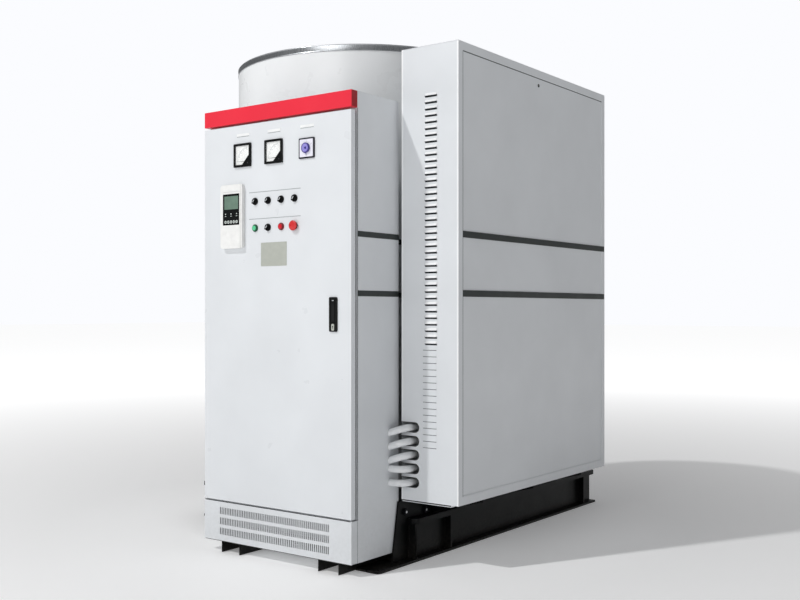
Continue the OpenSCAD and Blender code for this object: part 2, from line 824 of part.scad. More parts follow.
module cabinet_body() color([0.87, 0.88, 0.9]) difference() {
  // The right side reaches back past the rear wall, as a flange that screens the gap to the box
  union() {
    slab([cab_x0, cab_x1], [body_y0, cab_y1], [foot_h, cab_top]);
    slab([cab_x1 - cab_t, cab_x1], [cab_y1 - cut, cab_y1 + cab_flange], [foot_h, cab_top]);
  }
  slab([cab_x0 + cab_t, cab_x1 - cab_t], [body_y0 + cab_t, cab_y1 - cab_t],
    [foot_h + cab_t, cab_top - cab_t]);
  slab([cab_x0 + frame_w, cab_x1 - frame_w], [body_y0 - cut, body_y0 + cab_t + cut],
    [door_z0 + frame_w / 2, door_z1 - frame_w / 2]);
  slab([cab_x0 + frame_w, cab_x1 - frame_w], [body_y0 - cut, body_y0 + cab_t + cut],
    [foot_h + frame_w / 2, door_z0 - frame_w / 2]);
  for (i = [0:conduit_count - 1]) conduit_path(i, conduit_r + seat_gap, conduit_tail);
  translate([cab_x0 + cab_w / 2, (body_y0 + cab_y1) / 2, foot_h - cut])
    cylinder(r = entry_d / 2, h = cab_t + 2 * cut);
}

module plinth_grille() color([0.86, 0.87, 0.89]) difference() {
  tray([cab_x0, cab_x1], [cab_y0, body_y0], [foot_h, door_z0 - plinth_seam], cab_t);
  for (r = [0:vent_rows - 1], i = [0:vent_count - 1])
    translate([cab_x0 + cab_w / 2 + (i - (vent_count - 1) / 2) * vent_pitch - vent_w / 2, cab_y0 - cut,
      foot_h + (plinth_h - plinth_seam) / 2 + (r - (vent_rows - 1) / 2) * vent_row_pitch - vent_h / 2])
      cube([vent_w, cab_t + 2 * cut, vent_h]);
}

module header() color([0.86, 0.14, 0.18])
  tray([cab_x0, cab_x1], [cab_y0, body_y0], [cab_top - header_h, cab_top], cab_t);

module cabinet_feet() color([0.1, 0.11, 0.12]) for (x = foot_x) difference() {
  slab([cab_x0 + x, cab_x0 + x + foot_w], [cab_y0 + foot_front, cross_y0], [0, foot_h]);
  slab([cab_x0 + x + foot_sheet, cab_x0 + x + foot_w - foot_sheet],
    [cab_y0 + foot_front - cut, cross_y0 + cut], [-cut, foot_h - foot_sheet]);
}

module mounting_plate() color([0.75, 0.72, 0.55]) {
  slab([cab_x0 + plate_margin, cab_x1 - plate_margin], [plate_y, plate_y + plate_t],
    [door_z0 + plate_margin, door_z1 - plate_margin]);
  for (x = [cab_x0 + 2 * plate_margin, cab_x1 - 2 * plate_margin],
       z = [door_z0 + 2 * plate_margin, door_z1 - 2 * plate_margin])
    translate([x, plate_y + plate_t / 2, z]) rod_y(plate_t, plate_t / 2 + plate_gap);
}

module on_plate(x, z, w, h, d) {
  // A device seated on the mounting plate
  slab([cab_x0 + x, cab_x0 + x + w], [plate_y - d, plate_y], [z, z + h]);
}

module breaker() color([0.15, 0.15, 0.17]) {
  on_plate(breaker_x, breaker_z, breaker_w, breaker_h, breaker_d);
  on_plate(breaker_x + breaker_w / 3, breaker_z + breaker_h * 0.4, breaker_w / 3, breaker_h * 0.2,
    breaker_d * 1.15);
}

module contactors() color([0.22, 0.22, 0.24]) for (i = [0:heater_count - 1]) {
  x = breaker_x + i * contactor_pitch;
  on_plate(x, contactor_z, contactor_w, contactor_h, contactor_d);
  on_plate(x + contactor_w * 0.2, contactor_z + contactor_h * 0.25, contactor_w * 0.6, contactor_h / 2,
    contactor_d * 1.2);
}

module terminal_rail() color([0.8, 0.78, 0.7]) {
  on_plate(rail_x, terminal_z, rail_w, rail_h, rail_d);
  for (i = [0:terminal_count - 1]) on_plate(rail_x + terminal_w * (i * 1.1 + 1), terminal_z - rail_h / 4,
    terminal_w, rail_h * 1.5, terminal_d);
}

module cable_trunking() color([0.6, 0.62, 0.64]) for (z = trunking_zs) difference() {
  on_plate(trunking_x, z, trunking_w, trunking_h, trunking_d);
  on_plate(trunking_x - cut, z + cab_t, trunking_w + 2 * cut, trunking_h - 2 * cab_t, trunking_d - cab_t);
}

module hinges() color([0.55, 0.56, 0.58]) for (z = hinge_zs) translate([hinge_x, hinge_y, z]) {
  difference() {
    union() {
      cylinder(r = knuckle_r, h = hinge_h / 2);
      slab([knuckle_r - leaf_t, knuckle_r], [0, leaf_w], [0, hinge_h / 2]);
    }
    translate([0, 0, -cut]) cylinder(r = pin_d / 2 + fit_gap, h = hinge_h);
  }
  cylinder(r = pin_d / 2, h = hinge_h);
}

module door_leaf_shape(gap) {
  // The door's half of a hinge, behind the door's edge
  slab([-leaf_t - gap, leaf_w], [knuckle_r - leaf_t - gap, knuckle_r + gap],
    [hinge_h / 2 + seat_gap - gap, hinge_h + gap]);
}

module door_leaves() color([0.55, 0.56, 0.58]) for (z = hinge_zs) translate([hinge_x, hinge_y, z])
  difference() {
    union() {
      translate([0, 0, hinge_h / 2 + seat_gap]) cylinder(r = knuckle_r, h = hinge_h / 2 - seat_gap);
      door_leaf_shape(0);
    }
    translate([0, 0, -cut]) cylinder(r = pin_d / 2 + fit_gap, h = hinge_h + 2 * cut);
  }

module at_door(x, z) {
  // Places a device on the door's face, x from the door's left side
  translate([cab_x0 + x, cab_y0, z]) children();
}

module square_hole(w, h) {
  slab([-w / 2, w / 2], [-cut, cab_t + cut], [-h / 2, h / 2]);
}

module device_axes() {
  for (i = [0:3]) at_door(column_x + i * column_pitch, top_row_z) children();
  for (i = [0:3]) at_door(column_x + i * column_pitch, low_row_z) children();
}

module door_panel() color([0.88, 0.89, 0.91]) difference() {
  union() {
    tray([door_x0, door_x1], [cab_y0, cab_y0 + door_d], [door_z0, door_z1], cab_t);
    difference() {
      slab([door_x0, door_x1], [cab_y0 + door_d - cab_t, cab_y0 + door_d], [door_z0, door_z1]);
      slab([door_x0 + fold_w, door_x1 - fold_w], [cab_y0, cab_y0 + door_d + cut],
        [door_z0 + fold_w, door_z1 - fold_w]);
    }
  }
  for (x = meter_xs) at_door(x, meter_z) square_hole(meter_w - 2 * cut, meter_w - 2 * cut);
  at_door(cam_x, cam_z) translate([0, -cut, 0]) rod_y(device_d / 2, cab_t + 2 * cut);
  device_axes() translate([0, -cut, 0]) rod_y(device_d / 2, cab_t + 2 * cut);
  at_door(handle_x, handle_z) square_hole(handle_w * lock_w_share + 2 * seat_gap,
    handle_h * lock_h_share + 2 * seat_gap);
}

module door_gasket() color([0.07, 0.07, 0.08]) difference() {
  y = [cab_y0 + door_d, body_y0 - seat_gap];
  slab([door_x0 + fold_w - gasket_w, door_x1 - fold_w + gasket_w], y,
    [door_z0 + fold_w - gasket_w, door_z1 - fold_w + gasket_w]);
  slab([door_x0 + fold_w, door_x1 - fold_w], [cab_y0, body_y0], [door_z0 + fold_w, door_z1 - fold_w]);
  for (z = hinge_zs) translate([hinge_x, hinge_y, z]) door_leaf_shape(seat_gap);
}

module meter_cases() color([0.08, 0.08, 0.09]) for (x = meter_xs) at_door(x, meter_z) {
  r = meter_w / 2;
  inner = r - meter_rim;
  difference() {
    union() {
      slab([-r, r], [-meter_proud, 0], [-r, r]);
      slab([-r + 2 * cut, r - 2 * cut], [0, meter_depth], [-r + 2 * cut, r - 2 * cut]);
    }
    slab([-inner, inner], [-meter_proud - cut, meter_depth - glass_t], [-inner, inner]);
  }
  intersection() {
    slab([0, inner], [-meter_proud + glass_t + seat_gap, -meter_proud + glass_t + seat_gap + needle_t],
      [-inner, 0]);
    translate([inner, -meter_proud, -inner]) rod_y(corner_d / 2, meter_proud);
  }
}

module meter_dials() color([0.93, 0.93, 0.9]) for (x = meter_xs) at_door(x, meter_z) {
  half = meter_w / 2 - meter_rim;
  difference() {
    slab([-half, half], [dial_y, dial_y + dial_t], [-half, half]);
    translate([meter_w * pivot_share, dial_y - cut, -meter_w * pivot_share])
      rod_y(needle_r + fit_gap, dial_t + 2 * cut);
  }
}

module meter_glasses() color([0.75, 0.85, 0.9, 0.35]) for (x = meter_xs) at_door(x, meter_z) {
  half = meter_w / 2 - meter_rim;
  slab([-half, half], [-meter_proud, glass_t - meter_proud], [-half, half]);
}

module needle(x) {
  // Pointer lying at zero, its axle in the dial
  color([0.1, 0.1, 0.1]) at_door(x, meter_z)
    translate([meter_w * pivot_share, dial_y - seat_gap - needle_t, -meter_w * pivot_share]) {
      rod_y(needle_r * 2, needle_t);
      rod_y(needle_r, needle_t + seat_gap + dial_t);
      slab([-needle_len, 0], [0, needle_t], [-needle_r / 2, needle_r / 2]);
    }
}

module left_needle() needle(meter_xs[0]);

module right_needle() needle(meter_xs[1]);

module controller_case() color([0.92, 0.92, 0.9]) at_door(ctrl_x, ctrl_z) difference() {
  slab([-ctrl_w / 2, ctrl_w / 2], [-ctrl_t, 0], [-ctrl_h / 2, ctrl_h / 2]);
  translate([0, 0, screen_rise]) slab([-screen_w / 2, screen_w / 2], [-ctrl_t - cut, screen_t - ctrl_t],
    [-screen_h / 2, screen_h / 2]);
}

module controller_screen() color([0.1, 0.12, 0.12]) at_door(ctrl_x, ctrl_z + screen_rise)
  slab([-screen_w / 2, screen_w / 2], [-ctrl_t, screen_t - ctrl_t], [-screen_h / 2, screen_h / 2]);

module device_bezels() color([0.12, 0.12, 0.13]) {
  device_axes() difference() {
    union() {
      translate([0, -bezel_t, 0]) rod_y(bezel_d / 2, bezel_t);
      rod_y(device_d / 2 - seat_gap, sleeve_len);
    }
    translate([0, -bezel_t - cut, 0]) rod_y(sleeve_r, bezel_t + sleeve_len + 2 * cut);
  }
  at_door(cam_x, cam_z) difference() {
    union() {
      slab([-cam_w / 2, cam_w / 2], [-cam_plate_t, 0], [-cam_w / 2, cam_w / 2]);
      rod_y(device_d / 2 - seat_gap, sleeve_len);
    }
    translate([0, -cam_plate_t - cut, 0]) rod_y(sleeve_r, cam_plate_t + sleeve_len + 2 * cut);
  }
}

module contact_block() {
  slab([-block_w / 2, block_w / 2], [sleeve_len, sleeve_len + block_d], [-block_w / 2, block_w / 2]);
}

module contact_blocks() color([0.2, 0.22, 0.2]) {
  device_axes() contact_block();
  at_door(cam_x, cam_z) contact_block();
}

module label_plates() color([0.75, 0.76, 0.76]) {
  at_door(name_x, name_z) slab([-name_w / 2, name_w / 2], [-label_t, 0], [-name_h / 2, name_h / 2]);
  for (x = concat(meter_xs, [cam_x])) at_door(x, label_z)
    slab([-label_w / 2, label_w / 2], [-label_t, 0], [-label_h / 2, label_h / 2]);
  for (z = rule_zs) at_door(rule_x, z)
    slab([-rule_w / 2, rule_w / 2], [-label_t, 0], [-rule_h / 2, rule_h / 2]);
}

module lock_body() color([0.08, 0.08, 0.09]) at_door(handle_x, handle_z) {
  lw = lever_w / 2 + seat_gap;
  back_w = handle_w * lock_w_share / 2;
  back_h = handle_h * lock_h_share / 2;
  difference() {
    union() {
      slab([-handle_w / 2, handle_w / 2], [-handle_t, 0], [-handle_h / 2, handle_h / 2]);
      slab([-back_w, back_w], [0, handle_back], [-back_h, back_h]);
    }
    slab([-lw, lw], [-handle_t - cut, lever_t - handle_t + seat_gap],
      [lever_z0 - seat_gap, lever_z0 + lever_h + seat_gap]);
  }
  translate([-lw - lever_pivot_d / 2, lever_t / 2 - handle_t, lever_z0 + lever_t / 2])
    rod_x(lever_pivot_d / 2, 2 * lw + lever_pivot_d);
}

module lock_lever() color([0.1, 0.1, 0.11]) at_door(handle_x, handle_z) difference() {
  translate([-lever_w / 2, lever_t / 2 - handle_t, lever_z0 + lever_t / 2]) union() {
    rod_x(lever_t / 2, lever_w);
    slab([0, lever_w], [-lever_t / 2, lever_t / 2], [0, lever_h - lever_t / 2]);
  }
  translate([-lever_w, lever_t / 2 - handle_t, lever_z0 + lever_t / 2])
    rod_x(lever_pivot_d / 2 + fit_gap, 2 * lever_w);
}

module stem(l) {
  // Shaft in the sleeve behind a knob or button
  translate([0, -bezel_t - l, 0]) rod_y(sleeve_r - seat_gap, bezel_t + l + sleeve_len - 2 * travel);
}

module knob(r) {
  // A disc with a grip bar across it, in front of a bezel
  translate([0, -bezel_t - knob_proud, 0]) {
    translate([0, knob_proud / 2, 0]) rod_y(r, knob_proud / 2 - seat_gap);
    intersection() {
      rod_y(r, knob_proud / 2);
      slab([-r / 3, r / 3], [0, knob_proud / 2], [-r, r]);
    }
  }
  stem(knob_proud / 2);
}

module selector_knob(i) color([0.06, 0.06, 0.07])
  at_door(column_x + (i - 1) * column_pitch, top_row_z) rotate([0, pointer_tilt, 0]) knob(knob_d / 2);

module selector_knob_1() selector_knob(1);
module selector_knob_2() selector_knob(2);
module selector_knob_3() selector_knob(3);
module selector_knob_4() selector_knob(4);

module selector_knob_5() color([0.06, 0.06, 0.07])
  at_door(column_x + column_pitch, low_row_z) rotate([0, pointer_tilt, 0]) knob(knob_d / 2);

module cam_knob() color([0.35, 0.25, 0.6]) at_door(cam_x, cam_z)
  translate([0, bezel_t - cam_plate_t, 0]) knob(cam_knob_d / 2);

module green_button() color([0.1, 0.55, 0.25]) at_door(column_x, low_row_z) stem(button_proud);

module red_button() color([0.8, 0.1, 0.1]) at_door(column_x + 2 * column_pitch, low_row_z) stem(button_proud);

module mushroom_button() color([0.8, 0.1, 0.1]) at_door(column_x + 3 * column_pitch, low_row_z) {
  stem(button_proud);
  translate([0, -bezel_t - travel - seat_gap - mushroom_t, 0]) rotate([-90, 0, 0])
    cylinder(r1 = mushroom_d * 0.42, r2 = mushroom_d / 2, h = mushroom_t);
}

skid_frame();
deck_plate();
upstand();
skid_bolts();
vessel();
insulation();
jacket();
top_ring();
top_cover();
safety_valve();
water_inlet();
water_outlet();
drain_pipe();
drain_lever();
heater_flanges();
heating_rods();
rod_terminals();
box_frame();
louvre_panel();
side_panel();
box_top();
rear_panel();
inner_panel();
slot_trims();
conduits();
trim_strips();
cabinet_body();
plinth_grille();
header();
cabinet_feet();
mounting_plate();
breaker();
contactors();
terminal_rail();
cable_trunking();
hinges();
door_panel();
door_gasket();
door_leaves();
meter_cases();
meter_dials();
meter_glasses();
controller_case();
controller_screen();
device_bezels();
contact_blocks();
label_plates();
lock_body();
left_needle();
right_needle();
cam_knob();
selector_knob_1();
selector_knob_2();
selector_knob_3();
selector_knob_4();
selector_knob_5();
green_button();
red_button();
mushroom_button();
lock_lever();
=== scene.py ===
"""Electric water boiler: its looks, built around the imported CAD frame.

Sizes are millimetres in the frame of the CAD part: the origin is on the floor on the round shell's
axis, +X points to the terminal box, +Y to the rear with the water flanges, and the door faces -Y.
"""

from __future__ import annotations

import logging
import math
from dataclasses import dataclass, field
from enum import Enum
from typing import Any, ClassVar, Sequence

import bmesh
import bpy
from mathutils import Matrix, Vector


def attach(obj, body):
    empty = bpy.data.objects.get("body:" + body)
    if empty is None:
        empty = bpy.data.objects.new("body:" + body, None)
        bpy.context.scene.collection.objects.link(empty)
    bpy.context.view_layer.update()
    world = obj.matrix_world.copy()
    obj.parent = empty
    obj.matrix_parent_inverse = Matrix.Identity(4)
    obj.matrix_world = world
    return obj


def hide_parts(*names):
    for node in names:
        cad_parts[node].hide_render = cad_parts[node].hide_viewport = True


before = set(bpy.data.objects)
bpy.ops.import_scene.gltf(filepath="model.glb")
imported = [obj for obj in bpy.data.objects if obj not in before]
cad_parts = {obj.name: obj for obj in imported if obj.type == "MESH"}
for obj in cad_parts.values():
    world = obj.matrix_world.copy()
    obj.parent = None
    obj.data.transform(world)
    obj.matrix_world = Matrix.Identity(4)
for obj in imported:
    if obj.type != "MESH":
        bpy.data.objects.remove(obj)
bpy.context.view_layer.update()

LOG = logging.getLogger("boiler")
MM = 0.001

Point = tuple[float, float]
Point3 = tuple[float, float, float]
Loop = list[Point]
Sizes = tuple[float, ...]
Tree, Node, Socket = bpy.types.NodeTree, bpy.types.Node, bpy.types.NodeSocket
Mesh, Object, Material = bpy.types.Mesh, bpy.types.Object, bpy.types.Material


def linear(hex_colour: str) -> Sizes:
    """Turns an sRGB hex colour into the linear colour that a shader takes.

    Args:
        hex_colour: six hex digits with a leading #.

    Returns:
        Linear red, green, blue and an alpha of 1.
    """
    parts = [int(hex_colour[i : i + 2], 16) / 255 for i in (1, 3, 5)]
    values = [c / 12.92 if c <= 0.04045 else ((c + 0.055) / 1.055) ** 2.4 for c in parts]
    return (values[0], values[1], values[2], 1.0)


def feed(node: Node, inputs: dict[str | int, Any]) -> None:
    """Gives inputs of a node their values, or links them.

    Args:
        node: a node in a tree.
        inputs: a value or an output socket for each input.
    """
    for key, value in inputs.items():
        if isinstance(value, Socket):
            node.id_data.links.new(value, node.inputs[key])
        else:
            node.inputs[key].default_value = value


def add_node(tree: Tree, kind: str, inputs: dict[str | int, Any] | None = None, **settings: Any) -> Node:
    """Adds a node with its settings, values and links.

    Args:
        tree: the node tree that gets the node.
        kind: Blender's name for the node's type.
        inputs: a value or an output socket for each input.
        **settings: the node's own properties.

    Returns:
        The new node.
    """
    node = tree.nodes.new(kind)
    for key, value in settings.items():
        setattr(node, key, value)
    feed(node, inputs or {})
    return node


def worked(tree: Tree, operation: str, *values: Any, **settings: Any) -> Socket:
    """Works out one operation on numbers or sockets and returns its result."""
    given = dict(enumerate(values))
    return add_node(tree, "ShaderNodeMath", given, operation=operation, **settings).outputs[0]


def ranged(tree: Tree, value: Socket, source: Point, target: Point) -> Socket:
    """Maps a value from the source range onto the target range, held at its ends."""
    limits = {"From Min": source[0], "From Max": source[1], "To Min": target[0], "To Max": target[1]}
    return add_node(tree, "ShaderNodeMapRange", {"Value": value, **limits}).outputs["Result"]


@dataclass(frozen=True)
class Finish:
    """What a surface is made of and how it was made."""

    name: str
    slot: str
    colour: str
    roughness: float = 0.5
    made: ClassVar[dict[str, Material]] = {}

    def material(self) -> Material:
        """Returns this finish's material, built on first use."""
        if self.name not in Finish.made:
            material = bpy.data.materials.new(self.name)
            material.use_nodes = True
            material.diffuse_color = linear(self.colour)
            tree = material.node_tree
            tree.nodes.clear()
            plain = {"Base Color": linear(self.colour), "Roughness": self.roughness}
            shader = add_node(tree, "ShaderNodeBsdfPrincipled", plain)
            add_node(tree, "ShaderNodeOutputMaterial", {"Surface": shader.outputs["BSDF"]})
            self.dress(tree, shader, add_node(tree, "ShaderNodeTexCoord").outputs["Object"])
            Finish.made[self.name] = material
        return Finish.made[self.name]

    def dress(self, tree: Tree, shader: Node, place: Socket) -> None:
        """Adds the pattern of this finish to the plain shader.

        Args:
            tree: the material's node tree.
            shader: its Principled shader.
            place: Object coordinates, in metres.
        """
        raise NotImplementedError

    def dimmed(self, share: float) -> Sizes:
        """Returns this finish's linear colour, darkened to a share of itself."""
        return tuple(c * share for c in linear(self.colour)[:3]) + (1.0,)

    def drifting(self, tree: Tree, place: Socket, size_mm: float, drift: float) -> Socket:
        """Returns the colour, clouded by a shade darker by twice the drift."""
        cloud = self.between(tree, self.grain(tree, place, size_mm, 3), 0, 1)
        return self.blend(tree, cloud, linear(self.colour), self.dimmed(1 - drift * 2))

    def wandering(self, tree: Tree, place: Socket, size_mm: float, detail: float) -> Socket:
        """Returns a roughness that swings either way by 15 % of itself."""
        low, high = self.roughness * 0.85, self.roughness * 1.15
        return self.between(tree, self.grain(tree, place, size_mm, detail), low, high)

    @staticmethod
    def grain(
        tree: Tree, place: Socket, size_mm: float, detail: float = 2.0, stretch: Point3 = (1.0, 1.0, 1.0)
    ) -> Socket:
        """Adds a noise whose features are about size_mm wide.

        Args:
            tree: the material's node tree.
            place: Object coordinates, in metres.
            size_mm: width of one feature.
            detail: how many finer octaves it has.
            stretch: scale along each axis, for a brushed or drawn grain.

        Returns:
            The noise's value, about 0.5 on average.
        """
        turned = add_node(tree, "ShaderNodeMapping", {"Vector": place, "Scale": stretch}).outputs[0]
        pattern = {"Vector": turned, "Scale": 1 / (size_mm * MM), "Detail": detail}
        return add_node(tree, "ShaderNodeTexNoise", pattern).outputs["Fac"]

    @staticmethod
    def between(tree: Tree, value: Socket, low: float, high: float, spread: float = 0.2) -> Socket:
        """Maps a noise's middle part, 0.5 plus and minus spread, onto low to high."""
        return ranged(tree, value, (0.5 - spread, 0.5 + spread), (low, high))

    @staticmethod
    def blend(tree: Tree, share: Socket, first: Any, second: Any) -> Socket:
        """Mixes two colours by a share."""
        return add_node(tree, "ShaderNodeMix", {0: share, 6: first, 7: second}, data_type="RGBA").outputs[2]

    @staticmethod
    def emboss(tree: Tree, shader: Node, height: Socket, depth_mm: float) -> None:
        """Gives the shader a bump of a real depth."""
        bump = add_node(tree, "ShaderNodeBump", {"Height": height, "Distance": depth_mm * MM})
        feed(shader, {"Normal": bump.outputs["Normal"]})


@dataclass(frozen=True)
class Paint(Finish):
    """Sprayed or powder-coated sheet: a soft orange peel, a shade that drifts a little, dust below."""

    peel_mm: float = 2.5
    peel_depth_mm: float = 0.012
    drift: float = 0.03
    cloud_mm: float = 260
    smear_mm: float = 90
    dust: str = "#8C8A84"
    dust_top_mm: float = 0.0
    dust_share: float = 0.3
    speck_mm: float = 14
    specular: float = 0.5

    def dress(self, tree: Tree, shader: Node, place: Socket) -> None:
        """Adds the peel, the drift of the shade and the dust, which thins out upwards."""
        colour = self.drifting(tree, place, self.cloud_mm, self.drift)
        if self.dust_top_mm > 0:
            height = add_node(tree, "ShaderNodeSeparateXYZ", {0: place}).outputs["Z"]
            fall = ranged(tree, height, (0.0, self.dust_top_mm * MM), (self.dust_share, 0.0))
            speck = self.between(tree, self.grain(tree, place, self.speck_mm, 5), 0, 1)
            colour = self.blend(tree, worked(tree, "MULTIPLY", fall, speck), colour, linear(self.dust))
        feed(shader, {
            "IOR": 1.5, "Specular IOR Level": self.specular, "Base Color": colour,
            "Roughness": self.wandering(tree, place, self.smear_mm, 4),
        })
        self.emboss(tree, shader, self.grain(tree, place, self.peel_mm, 1), self.peel_depth_mm)


@dataclass(frozen=True)
class Metal(Finish):
    """Bare metal with the lines that its last working left."""

    line_mm: float = 0.8
    stretch: Point3 = (1.0, 1.0, 0.04)
    depth_mm: float = 0.006
    spangle_mm: float = 0.0
    anisotropic: float = 0.0
    smudge_mm: float = 60

    def dress(self, tree: Tree, shader: Node, place: Socket) -> None:
        """Adds the lines, faint smudges and, on zinc, its spangle."""
        lines = self.grain(tree, place, self.line_mm, 3, self.stretch)
        smudge = self.between(tree, self.grain(tree, place, self.smudge_mm, 4), -0.025, 0.03)
        streak = self.between(tree, lines, self.roughness * 0.8, self.roughness * 1.3)
        share, darker = self.between(tree, lines, 0, 1, 0.3), self.dimmed(0.82)
        if self.spangle_mm > 0:
            size = {"Vector": place, "Scale": 1 / (self.spangle_mm * MM)}
            cells = add_node(tree, "ShaderNodeTexVoronoi", size).outputs["Color"]
            share = add_node(tree, "ShaderNodeSeparateColor", {0: cells}).outputs[0]
            darker = self.dimmed(0.93)
        feed(shader, {
            "Metallic": 1.0, "Anisotropic": self.anisotropic,
            "Base Color": self.blend(tree, share, linear(self.colour), darker),
            "Roughness": worked(tree, "ADD", streak, smudge, use_clamp=True),
        })
        self.emboss(tree, shader, lines, self.depth_mm)


@dataclass(frozen=True)
class Plastic(Finish):
    """Moulded plastic, print or rubber with the fine grain of its mould."""

    grain_mm: float = 1.2
    depth_mm: float = 0.02
    drift: float = 0.04
    ior: float = 1.49
    specular: float = 0.5
    cloud_mm: float = 24
    smear_mm: float = 9

    def dress(self, tree: Tree, shader: Node, place: Socket) -> None:
        """Adds the mould's grain, drawn coarser than the real 0.1 mm so that it shows."""
        feed(shader, {
            "IOR": self.ior, "Specular IOR Level": self.specular,
            "Base Color": self.drifting(tree, place, self.cloud_mm, self.drift),
            "Roughness": self.wandering(tree, place, self.smear_mm, 3),
        })
        self.emboss(tree, shader, self.grain(tree, place, self.grain_mm, 2), self.depth_mm)


@dataclass(frozen=True)
class Backdrop(Finish):
    """Matt studio floor that glows white towards the horizon, as a lit backdrop does."""

    near_m: float = 1.5
    far_m: float = 9.0
    low_glow: float = 0.18
    glow: float = 0.86
    scuff_mm: float = 220

    def dress(self, tree: Tree, shader: Node, place: Socket) -> None:
        """Adds the glow, which grows with the distance from the object, and faint scuffs."""
        distance = add_node(tree, "ShaderNodeVectorMath", {0: place}, operation="LENGTH").outputs["Value"]
        rise = ranged(tree, distance, (self.near_m, self.far_m), (self.low_glow, self.glow))
        scuffs = self.grain(tree, place, self.scuff_mm, 4)
        feed(shader, {
            "Specular IOR Level": 0.2, "Emission Color": linear(self.colour), "Emission Strength": rise,
            "Roughness": self.between(tree, scuffs, self.roughness * 0.9, self.roughness),
        })


@dataclass(frozen=True)
class Wool(Finish):
    """Mineral wool: matted fibres, no gloss."""

    fibre_mm: float = 3.0
    depth_mm: float = 1.2
    shade: str = "#8E7F52"

    def dress(self, tree: Tree, shader: Node, place: Socket) -> None:
        """Adds matted fibres in two directions."""
        across = self.grain(tree, place, self.fibre_mm, 5, (1.0, 1.0, 6.0))
        along = self.grain(tree, place, self.fibre_mm, 5, (5.0, 5.0, 1.0))
        fibres = worked(tree, "MAXIMUM", across, along)
        share = self.between(tree, fibres, 0, 1)
        colour = self.blend(tree, share, linear(self.colour), linear(self.shade))
        feed(shader, {"Sheen Weight": 0.4, "Base Color": colour})
        self.emboss(tree, shader, fibres, self.depth_mm)


@dataclass(frozen=True)
class Glass(Finish):
    """A clear pane with faint cleaning marks."""

    smear_mm: float = 18
    opacity: float = 0.06

    def dress(self, tree: Tree, shader: Node, place: Socket) -> None:
        """Makes the pane clear and adds wiping marks to its gloss."""
        wiped = self.between(tree, self.grain(tree, place, self.smear_mm, 3, (1.0, 1.0, 0.3)), 0.02, 0.09)
        feed(shader, {"IOR": 1.5, "Alpha": self.opacity, "Roughness": wiped})


# Light grey polyester powder coat on folded sheet: satin, with a fine orange peel, dusty near the floor
LIGHT_PAINT = Paint("powder_coated_sheet", "light_paint", "#E2E5E8", 0.36, dust="#C6C8C8", dust_top_mm=420)
# The same coat where hoods and folds catch the light, painted whiter as their highlight
HIGHLIGHT_PAINT = Paint("painted_highlight_hoods", "light_paint", "#FCFDFE", 0.26)
# The same coat on the round jacket: painted a shade whiter for the light it catches, and glossier
JACKET_PAINT = Paint("powder_coated_jacket", "light_paint", "#EEF0F1", 0.3)
# The same coat on the door: a shade whiter and wiped clean
DOOR_PAINT = Paint("powder_coated_door", "light_paint", "#E4E7EA", 0.32)
# Stoving enamel on the header: a gloss red with soft highlights
RED_ENAMEL = Paint("red_stoving_enamel", "red_paint", "#EC3345", 0.36, peel_depth_mm=0.006, specular=0.3)
# The same enamel on the header's folded ends, painted a deeper red as the shade on them
RED_END_SHADE = Paint("red_enamel_painted_shade", "red_paint", "#A00A18", 0.4, peel_depth_mm=0.006, specular=0.3)
# Machine enamel brushed on rolled steel: black with brush waves, dusty near the floor
BLACK_ENAMEL = Paint(
    "black_machine_enamel", "black_enamel", "#070809", 0.36, peel_mm=7, peel_depth_mm=0.08,
    drift=0.12, dust="#4A4741", dust_top_mm=120, specular=0.15,
)
# Enamel on rolled trim strips: a dull dark grey
TRIM_ENAMEL = Paint("dark_grey_enamel", "trim_dark", "#343938", 0.45, peel_mm=2, drift=0.06, specular=0.3)
# Pipe enamel: blue marks the cold water pipe and oxide red the hot one, both brushed on thick
INLET_ENAMEL = Paint("blue_pipe_enamel", "inlet_blue", "#2F4F73", 0.3, peel_mm=5, peel_depth_mm=0.05)
OUTLET_ENAMEL = Paint("oxide_red_enamel", "outlet_red", "#7E2E25", 0.34, peel_mm=5, peel_depth_mm=0.05)
# Primer over mill scale on rolled boiler plate: flat grey with dark clouds
PRIMER = Paint(
    "primed_boiler_plate", "boiler_plate", "#5D5E60", 0.62, peel_mm=3, peel_depth_mm=0.06, drift=0.1
)
# Austenitic stainless strip polished along its length: long bright and dark reflections
POLISHED_STEEL = Metal("polished_stainless_steel", "polished_steel", "#BDC0C3", 0.27, anisotropic=0.35)
# Stainless sheet brushed across the cover: a soft sheen broken by fine lines
BRUSHED_STEEL = Metal(
    "brushed_stainless_steel", "brushed_steel", "#BFC1C2", 0.32, 1.2, (0.04, 1.0, 1.0), 0.01
)
# Passivated zinc plate on fasteners, hinges and the mounting plate: grey spangle with a warm tint
ZINC = Metal("zinc_plated_steel", "zinc_plate", "#B4B3AA", 0.38, 1.5, (1.0, 1.0, 1.0), 0.004, spangle_mm=9)
# Blackened, oiled steel of the bolts under the box: dark with a broad gleam
OILED_STEEL = Metal("oiled_black_steel", "zinc_plate", "#26272A", 0.46, 1.5, (1.0, 1.0, 1.0), 0.004)
# Pale points on the bolts' ends: painted highlight, their glint on the black skid
BOLT_GLINT = Plastic("painted_bolt_glint", "zinc_plate", "#C9CBCC", 0.5)
# Turned and tumbled brass: warm, with faint turning lines
BRASS = Metal("turned_brass", "brass", "#C29A52", 0.28, 0.8, (1.0, 0.05, 1.0), 0.006)
# Rolled aluminium plate, matt anodised, with nothing engraved on it: an even grey
BARE_PLATE = Plastic("matt_anodised_plate", "label_grey", "#B5B8AF", 0.48, grain_mm=0.8, depth_mm=0.008)
# Silk-screened rules on the door: thin flat grey; also the grey band painted as shade along the label strips'
# lower edges
RULE_INK_AND_SHADE = Plastic("grey_printed_rule_and_shade", "label_grey", "#A9AEB0", 0.5)
# Engraving laminate of the strips above the meters: plain white with a slight gloss
WHITE_LAMINATE = Plastic("white_laminate", "label_grey", "#F4F5F5", 0.4)
